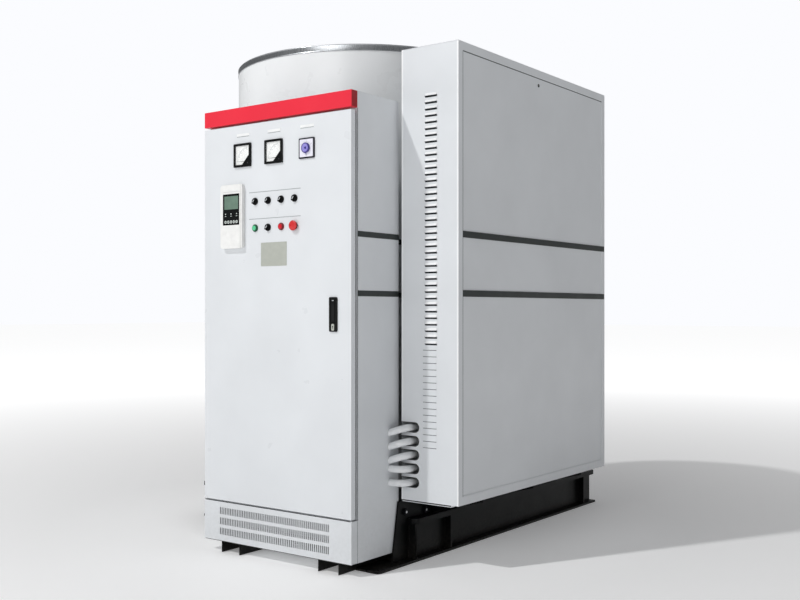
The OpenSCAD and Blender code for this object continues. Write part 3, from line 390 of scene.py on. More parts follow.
# A grey line set back in a seam: painted shade of the seam, also used under the shallow hoods
SEAM_SHADE = Plastic("painted_seam_shade", "black_rubber", "#565A5C", 0.7, specular=0.2)
# Dark strip closing the mouths of the open louvres: painted shade, without a gleam
HOOD_SHADE_SHEET = Plastic("painted_louvre_shade", "black_rubber", "#26292B", 0.7, specular=0.2)
# EPDM of gaskets and edge trims: black, grained and dull; also the dark line painted as shade under the
# louvred front's lower edge
RUBBER_AND_SHADE_LINE = Plastic("black_rubber", "black_rubber", "#0C0D0E", 0.7, grain_mm=1.6, depth_mm=0.05, specular=0.3)
# Smooth drawn PVC of the conduits: near white with a soft gloss
CONDUIT_PVC = Plastic("light_grey_pvc", "grey_plastic", "#EDEFF1", 0.34, grain_mm=5, depth_mm=0.02, ior=1.53)
# Extruded PVC of the trunking: mid grey, satin
GREY_PVC = Plastic("grey_pvc_trunking", "grey_plastic", "#A8ACAF", 0.45, ior=1.53)
# Moulded polyamide of terminals: a warm matt grey
TERMINAL_PA = Plastic("grey_polyamide", "grey_plastic", "#B9B7AE", 0.5)
# Glass-filled polyamide of bezels and cases: black with a faint sheen
BLACK_PA = Plastic("black_polyamide", "black_plastic", "#0A0B0C", 0.45, specular=0.28)
# The same polyamide on the selector knobs, eroded in the mould: matt black
KNOB_PA = Plastic("matt_black_polyamide", "black_plastic", "#08090A", 0.68, specular=0.12)
# ABS of meter frames and handle plate: a smooth satin black
SATIN_BLACK = Plastic("black_abs_case", "black_plastic", "#060707", 0.38, depth_mm=0.01, specular=0.22)
# Ink on the switch plate and the meters' covers: dark grey
DARK_PRINT = Plastic("dark_dial_print", "black_plastic", "#3A3C40", 0.5)
# Injection-moulded ABS of the controller's case: white with a soft gloss
WHITE_ABS = Plastic("white_abs", "white_plastic", "#F3F3F1", 0.33, grain_mm=0.9, depth_mm=0.008)
# Coated card of the dials: flat white
DIAL_CARD = Plastic("white_dial_card", "dial_white", "#FCFCFA", 0.55, depth_mm=0.004)
# Back-printed window of the controller: black glass with clear reflections
SCREEN_FRAME = Plastic("black_screen_glass", "screen_black", "#0A0C0B", 0.14, depth_mm=0.0)
# Liquid crystal behind glass, switched off: grey green and glossy
LCD_GLASS = Plastic("grey_green_liquid_crystal", "screen_black", "#71897A", 0.2, depth_mm=0.0, drift=0.08)
# Pale ink on the window and mid grey ink on the dials
SCREEN_PRINT = Plastic("pale_screen_print", "white_plastic", "#D9E0DB", 0.4)
GREY_PRINT = Plastic("pale_grey_print", "dial_white", "#9DA2A6", 0.5, depth_mm=0.004)
# Paint laid into the knobs' pointers: a light grey line; the same pale mark on the lift lever's top is a
# painted highlight
POINTER_PAINT_AND_GLINT = Plastic("pale_pointer_paint_and_glint", "white_plastic", "#B9BDC0", 0.45, depth_mm=0.004)
# Float glass over the dials: clear, with a thin gleam
CLEAR_GLASS = Glass("clear_float_glass", "clear_glass", "#EEF4F4", 0.04)
# Moulded grip of the cam switch: glossy violet round a darker hub; its rim is darker too, painted shade on
# its flank
VIOLET_PLASTIC = Plastic("violet_moulded_grip", "violet_plastic", "#938BD8", 0.3)
VIOLET_HUB_AND_SHADE = Plastic("dark_violet_hub_and_shade", "violet_plastic", "#3F3688", 0.34)
# Drawn PVC insulation of the three phases' wires: brown, black and grey, smooth
BROWN_WIRE = Plastic("brown_pvc_wire", "black_plastic", "#4A2A18", 0.42, grain_mm=3, ior=1.53)
BLACK_WIRE = Plastic("black_pvc_wire", "black_plastic", "#141516", 0.42, grain_mm=3, ior=1.53)
GREY_WIRE = Plastic("grey_pvc_wire", "grey_plastic", "#7C8083", 0.42, grain_mm=3, ior=1.53)
# Polycarbonate frame and laminate face of the cam switch: slate round a face with a violet tint
CAM_FRAME = Plastic("slate_switch_frame", "black_plastic", "#1D1D27", 0.4)
CAM_FACE = Plastic("pale_violet_laminate", "label_grey", "#EFEEF8", 0.4, depth_mm=0.006)
# Coloured polyamide bezels and caps of the push buttons: dark glossy rings round brighter caps; the dark
# finish also stands as painted shade on each cap's rim
GREEN_BEZEL_AND_SHADE = Plastic("dark_green_bezel_and_shade", "black_plastic", "#0F5A3A", 0.35)
RED_BEZEL_AND_SHADE = Plastic("dark_red_bezel_and_shade", "black_plastic", "#8C0F1A", 0.35)
GREEN_CAP = Plastic("green_button_cap", "green_plastic", "#62D29A", 0.26)
RED_CAP = Plastic("red_button_cap", "red_plastic", "#D81E2C", 0.26)
MUSHROOM_RED = Plastic("red_mushroom_cap", "red_plastic", "#D72F31", 0.3)
# Vinyl dipped over a steel lever: thick soft red
LEVER_RED = Plastic("red_dipped_grip", "red_plastic", "#B3201C", 0.45)
# Bonded mineral wool: matted yellow fibres, no gloss
MINERAL_WOOL = Wool("mineral_wool", "mineral_wool", "#C9B77E", 0.95)


class Facing(Enum):
    """Which way a detail looks; each gives its local right, up and outward directions."""

    FRONT = ((1, 0, 0), (0, 0, 1), (0, -1, 0))
    REAR = ((-1, 0, 0), (0, 0, 1), (0, 1, 0))
    RIGHT = ((0, 1, 0), (0, 0, 1), (1, 0, 0))
    LEFT = ((0, -1, 0), (0, 0, 1), (-1, 0, 0))

    def at(self, x: float, y: float, z: float, turn_deg: float = 0.0) -> Matrix:
        """Returns the matrix that puts a detail at x, y, z, turned about this outward direction."""
        right, up, out = (Vector(v) for v in self.value)
        basis = Matrix((right, up, out)).transposed().to_4x4()
        return shift(x, y, z) @ basis @ turned(turn_deg, "Z")


def arc(cx: float, cy: float, r: float, start: float, end: float, steps: int) -> Loop:
    """Returns points on an arc from start to end degrees, both included."""
    angles = (math.radians(start + (end - start) * i / steps) for i in range(steps + 1))
    return [(cx + r * math.cos(a), cy + r * math.sin(a)) for a in angles]


def rounded(x0: float, x1: float, y0: float, y1: float, r: float, steps: int = 4) -> Loop:
    """Returns a rectangle with round corners, anticlockwise."""
    if r <= 0:
        return [(x0, y0), (x1, y0), (x1, y1), (x0, y1)]
    return (
        arc(x0 + r, y0 + r, r, 180, 270, steps)
        + arc(x1 - r, y0 + r, r, 270, 360, steps)
        + arc(x1 - r, y1 - r, r, 0, 90, steps)
        + arc(x0 + r, y1 - r, r, 90, 180, steps)
    )


def circle(cx: float, cy: float, r: float, steps: int = 24) -> Loop:
    """Returns a circle's points, anticlockwise."""
    return arc(cx, cy, r, 0, 360 - 360 / steps, steps - 1)


def centred(half_x: float, half_y: float, r: float, steps: int = 4) -> Loop:
    """Returns a rectangle with round corners, centred on the origin."""
    return rounded(-half_x, half_x, -half_y, half_y, r, steps)


def shift(x: float, y: float, z: float) -> Matrix:
    """Returns the matrix that moves a shape by x, y and z."""
    return Matrix.Translation((x, y, z))


def turned(degrees: float, axis: str) -> Matrix:
    """Returns the matrix that turns a shape about X, Y or Z."""
    return Matrix.Rotation(math.radians(degrees), 4, axis)


def finished(bm: bmesh.types.BMesh, name: str) -> Mesh:
    """Turns a bmesh into a mesh and frees it."""
    mesh = bpy.data.meshes.new(name)
    bm.to_mesh(mesh)
    bm.free()
    return mesh


def from_curve(curve: bpy.types.Curve, lift: float) -> Mesh:
    """Turns a curve into a mesh, lifted along Z, and removes the curve."""
    holder = bpy.data.objects.new("holder", curve)
    mesh = bpy.data.meshes.new_from_object(holder)
    bpy.data.objects.remove(holder)
    bpy.data.curves.remove(curve)
    mesh.transform(shift(0, 0, lift))
    return mesh


def in_scene(name: str, data: bpy.types.ID) -> Object:
    """Makes an object that carries the data and links it to the scene."""
    made = bpy.data.objects.new(name, data)
    bpy.context.scene.collection.objects.link(made)
    return made


def plate(loops: Sequence[Loop], depth: float, edge: float = 0.0) -> Mesh:
    """Makes a plate from an outline and its holes, from height 0 to depth.

    Args:
        loops: the outline, then the holes, in millimetres.
        depth: thickness of the plate.
        edge: rounding of its rims.

    Returns:
        A closed mesh.
    """
    curve = bpy.data.curves.new("plate", "CURVE")
    curve.dimensions = "2D"
    curve.fill_mode = "BOTH"
    curve.extrude = max(depth / 2 - edge, 0.0)
    curve.bevel_depth = edge
    curve.bevel_resolution = 1
    curve.offset = -edge
    for loop in loops:
        spline = curve.splines.new("POLY")
        spline.points.add(len(loop) - 1)
        for point, (x, y) in zip(spline.points, loop):
            point.co = (x, y, 0, 1)
        spline.use_cyclic_u = True
    return from_curve(curve, depth / 2)


def tile(half_x: float, half_y: float, corner: float, depth: float, edge: float = 0.0) -> Mesh:
    """Makes a rectangular plate with round corners, centred on the origin."""
    return plate([centred(half_x, half_y, corner)], depth, edge)


def lathe(profile: Sequence[Point], steps: int = 48) -> Mesh:
    """Turns a closed or axis-to-axis profile of (radius, height) round Z.

    Args:
        profile: points in order; a radius of 0 is a pole.
        steps: segments round the axis.

    Returns:
        A closed mesh with its faces outwards.
    """
    bm = bmesh.new()
    rings: list[list[bmesh.types.BMVert]] = []
    for r, z in profile:
        count = 1 if r < 1e-6 else steps
        turns = (math.tau * i / steps for i in range(count))
        rings.append([bm.verts.new((r * math.cos(a), r * math.sin(a), z)) for a in turns])
    closed = profile[0][0] > 1e-6 and profile[-1][0] > 1e-6
    for k in range(len(rings) if closed else len(rings) - 1):
        low, high = rings[k], rings[(k + 1) % len(rings)]
        for i in range(steps):
            j = (i + 1) % steps
            corners = [low[i % len(low)], low[j % len(low)], high[j % len(high)], high[i % len(high)]]
            unique = list(dict.fromkeys(corners))
            if len(unique) > 2:
                bm.faces.new(unique)
    bmesh.ops.recalc_face_normals(bm, faces=bm.faces)
    return finished(bm, "lathe")


def block(lo: Point3, hi: Point3, edge: float = 0.0, segments: int = 2) -> Mesh:
    """Makes a box with rounded edges between two corners."""
    bm = bmesh.new()
    bmesh.ops.create_cube(bm, size=1)
    size = [hi[i] - lo[i] for i in range(3)]
    middle = [(hi[i] + lo[i]) / 2 for i in range(3)]
    bmesh.ops.transform(bm, matrix=Matrix.Translation(middle) @ Matrix.Diagonal((*size, 1)), verts=bm.verts)
    if edge > 0:
        bmesh.ops.bevel(bm, geom=bm.edges[:], offset=edge, segments=segments, profile=0.5, affect="EDGES")
    return finished(bm, "block")


def digits(text: str, height: float, depth: float = 0.15) -> Mesh:
    """Makes plain numbers, centred, standing depth above height 0."""
    curve = bpy.data.curves.new("digits", "FONT")
    curve.body = text
    curve.size = height
    curve.align_x = "CENTER"
    curve.align_y = "CENTER"
    curve.extrude = depth / 2
    curve.resolution_u = 2
    return from_curve(curve, depth / 2)


class Piece:
    """One mesh in the making, in millimetres of the CAD frame."""

    def __init__(self, name: str) -> None:
        """Starts an empty piece under its own name."""
        self.name = name
        self.shape = bmesh.new()
        self.finishes: list[Finish] = []

    def add(self, mesh: Mesh, finish: Finish, place: Matrix | None = None) -> Piece:
        """Adds a mesh in one finish and frees it.

        Args:
            mesh: its shape, in millimetres.
            finish: what it is made of.
            place: where it goes.

        Returns:
            The piece itself.
        """
        if finish not in self.finishes:
            self.finishes.append(finish)
        index = self.finishes.index(finish)
        part = bmesh.new()
        part.from_mesh(mesh)
        bmesh.ops.remove_doubles(part, verts=part.verts, dist=0.004)
        if place is not None:
            bmesh.ops.transform(part, matrix=place, verts=part.verts)
        for face in part.faces:
            face.material_index = index
        part.to_mesh(mesh)
        part.free()
        self.shape.from_mesh(mesh)
        bpy.data.meshes.remove(mesh)
        return self

    def done(self, body: str, *nodes: str, sharp_deg: float = 34.0) -> Object:
        """Turns the piece into an object that rides on a body.

        Args:
            body: the CAD body that it moves with.
            *nodes: CAD nodes that it stands for.
            sharp_deg: the angle past which an edge stays sharp.

        Returns:
            The finished object, at the origin, in metres.
        """
        mesh = finished(self.shape, self.name)
        mesh.transform(Matrix.Scale(MM, 4))
        for finish in self.finishes:
            mesh.materials.append(finish.material())
        mesh.shade_smooth()
        mesh.set_sharp_from_angle(angle=math.radians(sharp_deg))
        made = weighted(mesh, self.name)
        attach(made, body)
        if nodes:
            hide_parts(*nodes)
        LOG.info("%s: %d faces on %s", self.name, len(made.data.polygons), body)
        return made


def weighted(mesh: Mesh, name: str) -> Object:
    """Makes an object whose large flat faces shade flat between their rounded edges.

    Args:
        mesh: the finished shape, in metres.
        name: the object's name.

    Returns:
        An object with no modifiers left.
    """
    made = in_scene(name, mesh)
    even = made.modifiers.new("even", "WEIGHTED_NORMAL")
    even.keep_sharp = True
    even.weight = 60
    graph = bpy.context.evaluated_depsgraph_get()
    smooth = bpy.data.meshes.new_from_object(
        made.evaluated_get(graph), preserve_all_data_layers=True, depsgraph=graph
    )
    made.modifiers.clear()
    made.data = smooth
    smooth.name = name
    bpy.data.meshes.remove(mesh)
    return made


def cad_copy(node: str, edge: float, shortest: float = 8.0) -> Mesh:
    """Copies a CAD node's shape, in millimetres, with its long straight outer edges rounded.

    Args:
        node: the CAD node.
        edge: how much its edges are rounded.
        shortest: edges shorter than this stay sharp.

    Returns:
        The new mesh. Where rounding would grow the shape, it is the plain copy.
    """
    bm = bmesh.new()
    bm.from_mesh(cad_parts[node].data)
    bmesh.ops.scale(bm, vec=(1 / MM,) * 3, verts=bm.verts)
    bmesh.ops.remove_doubles(bm, verts=bm.verts, dist=0.01)
    bmesh.ops.dissolve_limit(bm, angle_limit=math.radians(0.4), verts=bm.verts, edges=bm.edges)
    plain = bpy.data.meshes.new(node)
    bm.to_mesh(plain)
    if edge > 0:
        sharp = [
            e for e in bm.edges
            if len(e.link_faces) == 2 and e.calc_length() > shortest
            and e.calc_face_angle_signed(0) > math.radians(40)
        ]
        bmesh.ops.bevel(
            bm, geom=sharp, offset=edge, segments=2, profile=0.5, affect="EDGES", clamp_overlap=True
        )
        round_mesh = bpy.data.meshes.new(node)
        bm.to_mesh(round_mesh)
        if reach(round_mesh) <= reach(plain) + 0.05:
            plain, round_mesh = round_mesh, plain
        bpy.data.meshes.remove(round_mesh)
    bm.free()
    return plain


def reach(mesh: Mesh) -> float:
    """Returns the largest coordinate in a mesh, either way along any axis."""
    return max((max(abs(c) for c in v.co) for v in mesh.vertices), default=0.0)


class Growth:
    """A Geometry Nodes tree for what repeats, with named sizes."""

    def __init__(self, name: str, **sizes: float | int | Point3) -> None:
        """Starts a tree with one named input for each size.

        Args:
            name: the tree's name.
            **sizes: value of each named size; an int becomes a count, a tuple a vector.
        """
        self.tree = bpy.data.node_groups.new(name, "GeometryNodeTree")
        self.tree.interface.new_socket("Shape", in_out="OUTPUT", socket_type="NodeSocketGeometry")
        self.sizes: dict[str, Any] = {}
        for key, value in sizes.items():
            kind = {int: "NodeSocketInt", float: "NodeSocketFloat"}.get(type(value), "NodeSocketVector")
            item = self.tree.interface.new_socket(key, in_out="INPUT", socket_type=kind)
            self.sizes[item.identifier] = value
        self.given = add_node(self.tree, "NodeGroupInput").outputs

    def node(self, kind: str, inputs: dict[str | int, Any] | None = None, **settings: Any) -> Node:
        """Adds a node to the tree."""
        return add_node(self.tree, kind, inputs, **settings)

    def grown(self, points: Socket, mesh: Mesh, finish: Finish, turn: Socket | None = None) -> Mesh:
        """Puts a shape on points and returns all the copies as one plain mesh, in millimetres.

        Args:
            points: the geometry whose points carry the copies.
            mesh: the shape to repeat.
            finish: what it is made of.
            turn: rotation of each copy.

        Returns:
            The realised mesh.
        """
        carrier = bpy.data.objects.new("pattern", mesh)
        shape = self.node("GeometryNodeObjectInfo", {"Object": carrier}).outputs["Geometry"]
        spread = {"Points": points, "Instance": shape} | ({} if turn is None else {"Rotation": turn})
        copies = self.node("GeometryNodeInstanceOnPoints", spread)
        real = self.node("GeometryNodeRealizeInstances", {"Geometry": copies.outputs[0]})
        look = {"Geometry": real.outputs[0], "Material": finish.material()}
        dressed = self.node("GeometryNodeSetMaterial", look)
        self.node("NodeGroupOutput", {"Shape": dressed.outputs[0]})
        holder = in_scene("growing", bpy.data.meshes.new("growing"))
        modifier = holder.modifiers.new("growth", "NODES")
        modifier.node_group = self.tree
        for identifier, value in self.sizes.items():
            modifier[identifier] = value
        graph = bpy.context.evaluated_depsgraph_get()
        mesh = bpy.data.meshes.new_from_object(holder.evaluated_get(graph), depsgraph=graph)
        holder.modifiers.clear()
        bpy.data.objects.remove(holder)
        bpy.data.objects.remove(carrier)
        return mesh


def repeat_in_grid(
    name: str, mesh: Mesh, finish: Finish, columns: int, rows: int, step: Point
) -> Mesh:
    """Repeats a shape in a grid centred on the origin, in its own plane.

    Args:
        name: the tree's name.
        mesh: the shape to repeat.
        finish: what it is made of.
        columns: how many along X.
        rows: how many along Y.
        step: spacing along X and Y.

    Returns:
        All the copies as one mesh.
    """
    growth = Growth(name, Columns=columns, Rows=rows, Column_step=float(step[0]), Row_step=float(step[1]))
    given = growth.given

    def spread(count: str, pitch: str) -> Socket:
        """Returns the grid's size along one axis from its count and spacing."""
        gaps = worked(growth.tree, "SUBTRACT", given[count], 1.0)
        return worked(growth.tree, "MULTIPLY", gaps, given[pitch])

    grid = growth.node("GeometryNodeMeshGrid", {
        "Size X": spread("Columns", "Column_step"), "Size Y": spread("Rows", "Row_step"),
        "Vertices X": given["Columns"], "Vertices Y": given["Rows"],
    })
    return growth.grown(grid.outputs["Mesh"], mesh, finish)


def repeat_in_ring(
    name: str, mesh: Mesh, finish: Finish, count: int, radius: float, sweep: Point = (0.0, 360.0)
) -> Mesh:
    """Repeats a shape round the origin, its X axis pointing outwards.

    Args:
        name: the tree's name.
        mesh: the shape to repeat.
        finish: what it is made of.
        count: how many.
        radius: their distance from the origin.
        sweep: first and last angle in degrees; a full turn leaves the last one out.

    Returns:
        All the copies as one mesh.
    """
    full = sweep[1] - sweep[0] >= 360
    step = (sweep[1] - sweep[0]) / (count if full else count - 1)
    first, step = math.radians(sweep[0]), math.radians(step)
    growth = Growth(name, Count=count, Radius=float(radius), First=first, Step=step)
    given, tree = growth.given, growth.tree
    points = growth.node("GeometryNodePoints", {"Count": given["Count"]})
    index = growth.node("GeometryNodeInputIndex").outputs[0]
    angle = worked(tree, "ADD", worked(tree, "MULTIPLY", index, given["Step"]), given["First"])
    x, y = (worked(tree, "MULTIPLY", worked(tree, way, angle), given["Radius"]) for way in ("COSINE", "SINE"))
    spot = growth.node("ShaderNodeCombineXYZ", {"X": x, "Y": y}).outputs[0]
    turn = growth.node("ShaderNodeCombineXYZ", {"Z": angle}).outputs[0]
    moved = growth.node("GeometryNodeSetPosition", {"Geometry": points.outputs[0], "Position": spot})
    return growth.grown(moved.outputs[0], mesh, finish, turn)


@dataclass(frozen=True)
class Dressing:
    """How a CAD node whose shape is right is finished."""

    finish: Finish
    body: str = "boiler"
    edge: float = 0.6
    shortest: float = 8.0

    def start(self, node: str) -> Piece:
        """Starts a piece with the CAD node's own shape in it."""
        return Piece(f"{node}_dressed").add(cad_copy(node, self.edge, self.shortest), self.finish)

    def put_on(self, node: str) -> None:
        """Replaces a CAD node by a copy of it with rounded edges and this finish."""
        self.start(node).done(self.body, node)


# Nodes whose CAD shape is already what one sees; the classes below add to or redraw the others
PLAIN_NODES: dict[str, Dressing] = {
    "deck_plate": Dressing(BLACK_ENAMEL, edge=1.5),
    "vessel": Dressing(PRIMER, edge=0.0),
    "insulation": Dressing(MINERAL_WOOL, edge=0.0),
    "drain_lever": Dressing(LEVER_RED, "drain_lever", 1.0),
    "heater_flanges": Dressing(PRIMER, edge=0.0),
    "heating_rods": Dressing(BRUSHED_STEEL, edge=0.0),
    "rod_terminals": Dressing(BRASS, edge=0.0),
    "box_frame": Dressing(LIGHT_PAINT, edge=0.8),
    "box_top": Dressing(LIGHT_PAINT, edge=0.9),
    "rear_panel": Dressing(LIGHT_PAINT, edge=0.9),
    "inner_panel": Dressing(LIGHT_PAINT, edge=0.5),
    "slot_trims": Dressing(RUBBER_AND_SHADE_LINE, edge=0.4, shortest=10),
    "cabinet_feet": Dressing(BLACK_ENAMEL, edge=2.0),
    "hinges": Dressing(ZINC, edge=0.4),
    "door_panel": Dressing(DOOR_PAINT, "door", 1.6, 20),
    "door_gasket": Dressing(RUBBER_AND_SHADE_LINE, "door", 0.8),
    "door_leaves": Dressing(ZINC, "door", 0.4),
}


def hexagon(across: float) -> Loop:
    """Returns a hexagon with the given width across its flats."""
    return circle(0, 0, across / math.sqrt(3), 6)


def hex_head(across: float, height: float) -> Mesh:
    """Makes a hexagon bolt head or nut with softened corners."""
    return plate([hexagon(across)], height, height * 0.12)


def pan_head(radius: float, height: float) -> Mesh:
    """Makes a screw head with a cross recess."""
    arm, slot = radius * 0.62, radius * 0.14
    cross = [
        (slot, slot), (slot, arm), (-slot, arm), (-slot, slot), (-arm, slot), (-arm, -slot),
        (-slot, -slot), (-slot, -arm), (slot, -arm), (slot, -slot), (arm, -slot), (arm, slot),
    ]
    rim, half = circle(0, 0, radius, 20), height / 2
    bm = bmesh.new()
    for mesh, lift in ((plate([rim], half), 0.0), (plate([rim, cross], half, height * 0.12), half)):
        mesh.transform(shift(0, 0, lift))
        bm.from_mesh(mesh)
        bpy.data.meshes.remove(mesh)
    return finished(bm, "pan_head")


def rivet(radius: float, height: float) -> Mesh:
    """Makes a domed rivet head."""
    dome = [(0, height), (radius * 0.6, height * 0.85), (radius, height * 0.2), (radius, 0), (0, 0)]
    return lathe(dome, 12)


def skin(front: list[list[Point3]], back: list[list[Point3]]) -> Mesh:
    """Closes two point grids of the same size into one solid.

    Args:
        front: rows of points of the outer face.
        back: rows of points of the inner face.

    Returns:
        A closed mesh with its faces outwards.
    """
    bm = bmesh.new()
    grids = [[[bm.verts.new(p) for p in row] for row in grid] for grid in (front, back)]
    rows, columns = len(front), len(front[0])
    for grid in grids:
        for i in range(rows - 1):
            for j in range(columns - 1):
                bm.faces.new((grid[i][j], grid[i][j + 1], grid[i + 1][j + 1], grid[i + 1][j]))
    rim = [(0, j) for j in range(columns)] + [(i, columns - 1) for i in range(1, rows)]
    rim += [(rows - 1, j) for j in range(columns - 2, -1, -1)] + [(i, 0) for i in range(rows - 2, 0, -1)]
    for (i, j), (k, m) in zip(rim, rim[1:] + rim[:1]):
        bm.faces.new((grids[0][i][j], grids[0][k][m], grids[1][k][m], grids[1][i][j]))
    bmesh.ops.recalc_face_normals(bm, faces=bm.faces)
    return finished(bm, "skin")


def swept(path: Sequence[Point3], outer: float, inner: float = 0.0, sides: int = 20) -> Mesh:
    """Sweeps a round bar or a pipe along a smooth path.

    Args:
        path: points of its middle line, in millimetres.
        outer: outer radius.
        inner: inner radius; 0 makes a solid bar.
        sides: segments round it.

    Returns:
        A closed mesh.
    """
    bm = bmesh.new()
    points = [Vector(p) for p in path]
    side = (points[1] - points[0]).orthogonal().normalized()
    rings: dict[float, list[list[bmesh.types.BMVert]]] = {outer: [], inner: []}
    for k, point in enumerate(points):
        along = (points[min(k + 1, len(points) - 1)] - points[max(k - 1, 0)]).normalized()
        side = (side - along * side.dot(along)).normalized()
        other = along.cross(side)
        for radius, made in rings.items():
            turns = (math.tau * i / sides for i in range(sides if radius > 0 else 1))
            spokes = (side * math.cos(a) + other * math.sin(a) for a in turns)
            made.append([bm.verts.new(point + spoke * radius) for spoke in spokes])
    walls = [rings[outer]] + ([rings[inner]] if inner > 0 else [])
    for wall in walls:
        for low, high in zip(wall, wall[1:]):
            for i in range(sides):
                j = (i + 1) % sides
                bm.faces.new((low[i], low[j], high[j], high[i]))
    for end in (0, -1):
        rim, hub = rings[outer][end], rings[inner][end]
        for i in range(sides):
            j = (i + 1) % sides
            bm.faces.new(list(dict.fromkeys((rim[i], rim[j], hub[j % len(hub)], hub[i % len(hub)]))))
    bmesh.ops.delete(bm, geom=[v for v in bm.verts if not v.link_faces], context="VERTS")
    bmesh.ops.recalc_face_normals(bm, faces=bm.faces)
    return finished(bm, "swept")


@dataclass(frozen=True)
class Skid:
    """Welded base frame with the upstand that carries the box."""

    posts: Sizes = (-534.0, -279.0, 951.0)
    post_thick: float = 10.0
    web_face: float = 655.0
    bead: float = 3.2
    bead_step: float = 3.6
    low: float = 12.0
    high: float = 146.0
    toe: tuple[Point3, Point3] = ((576.0, -779.0, 0.3), (632.0, -600.0, 9.7))
    bolts: tuple[Point, ...] = ((-555.0, 200.0), (-416.0, 188.0))
    upstand_face: float = 647.0
    washer: float = 15.0
    washer_hole: float = 8.6
    washer_thick: float = 2.4
    bolt_head: float = 10.2
    bolt_eye: float = 5.0

    def scale_of_weld(self) -> Mesh:
        """Makes one ripple of a weld bead, lying in a corner."""
        r = self.bead
        return lathe([(0, r * 0.45), (r * 0.7, r * 0.25), (r, 0), (r * 0.7, -r * 0.25), (0, -r * 0.45)], 8)

    def build(self) -> None:
        """Adds ripples of weld beside each post, the foot's inner part, and the bolts with washers."""
        piece = Dressing(BLACK_ENAMEL, edge=2.0).start("skid_frame")
        count = int((self.high - self.low) / self.bead_step)
        middle, step = (self.low + self.high) / 2, (1, self.bead_step)
        for post in self.posts:
            for y in (post, post + self.post_thick):
                name = f"weld_{post:.0f}_{y:.0f}"
                ripples = repeat_in_grid(name, self.scale_of_weld(), BLACK_ENAMEL, 1, count, step)
                piece.add(ripples, BLACK_ENAMEL, Facing.RIGHT.at(self.web_face, y, middle))
        piece.add(block(*self.toe, 1.2), BLACK_ENAMEL)
        piece.done("boiler", "skid_frame")
        Dressing(BLACK_ENAMEL, edge=1.5).put_on("upstand")
        bolts = Dressing(OILED_STEEL, edge=0.0).start("skid_bolts")
        for y, z in self.bolts:
            loops = [circle(0, 0, self.washer, 32), circle(0, 0, self.washer_hole, 24)]
            place = Facing.RIGHT.at(self.upstand_face, y, z)
            bolts.add(plate(loops, self.washer_thick, 0.3), OILED_STEEL, place)
            # A pale dome on each bolt end: painted highlight.
            bolts.add(rivet(self.bolt_eye, 1.2), BOLT_GLINT, place @ shift(0, 0, self.bolt_head))
        bolts.done("boiler", "skid_bolts")


@dataclass(frozen=True)
class RoundShell:
    """Painted jacket, polished ring and top cover."""

    radius: float = 599.0
    bottom: float = 170.0
    top: float = 2106.0
    ring_radius: float = 602.0
    ring_inner: float = 597.0
    ring_top: float = 2134.0
    bead: float = 3.2
    hem: float = 14.0
    seam_deg: float = 128.0
    seam_width: float = 26.0
    rivet_step: float = 76.0
    cover_top: float = 2118.0
    cover_screws: int = 24
    screw_ring: float = 575.0

    def build(self) -> None:
        """Builds the jacket with its hem and rear seam, the ring, then the cover with its screws."""
        jacket = Dressing(JACKET_PAINT, edge=0.0).start("jacket")
        r = self.radius
        foot, hem_top = self.bottom, self.bottom + self.hem
        hem = [(r - 0.4, foot), (r + 1.2, foot + 0.6), (r + 1.4, hem_top - 1.5), (r - 0.4, hem_top)]
        jacket.add(lathe(hem, 160), JACKET_PAINT)
        jacket.add(self.seam(), JACKET_PAINT)
        count = int((self.top - self.bottom - 3 * self.hem) / self.rivet_step)
        turn = turned(self.seam_deg, "Z")
        for side in (-1, 1):
            name, step = f"seam_rivets_{side + 1}", (1, self.rivet_step)
            rivets = repeat_in_grid(name, rivet(2.6, 1.4), ZINC, 1, count, step)
            place = Facing.RIGHT.at(r + 1.0, side * self.seam_width * 0.3, (self.top + self.bottom) / 2)
            jacket.add(rivets, ZINC, turn @ place)
        jacket.done("boiler", "jacket")
        low, high, out, b = self.top, self.ring_top, self.ring_radius, self.bead
        neck = out - 1.3
        bead = [(0.0, neck), (b * 0.4, out), (b, out), (b * 1.4, neck)]
        ring = [(self.ring_inner, low), *((r, low + z) for z, r in bead)]
        ring += [*((r, high - z) for z, r in reversed(bead)), (self.ring_inner, high)]
        rolled = Piece("top_ring_rolled").add(lathe(ring, 224), POLISHED_STEEL)
        rolled.done("boiler", "top_ring", sharp_deg=50)
        cover = Dressing(BRUSHED_STEEL, edge=1.0).start("top_cover")
        screws = repeat_in_ring("cover_screws", pan_head(5, 3), ZINC, self.cover_screws, self.screw_ring)
        cover.add(screws, ZINC, shift(0, 0, self.cover_top))
        cover.done("boiler", "top_cover")

    def seam(self) -> Mesh:
        """Makes the lapped strip that closes the jacket at the rear."""
        half = math.degrees(self.seam_width / 2 / self.radius)
        angles = [math.radians(self.seam_deg + half * k / 2) for k in range(-2, 3)]
        ends = (self.bottom + self.hem, self.top - 2)
        front, back = (
            [[(r * math.cos(a), r * math.sin(a), z) for a in angles] for z in ends]
            for r in (self.radius + 1.2, self.radius - 0.4)
        )
        return skin(front, back)


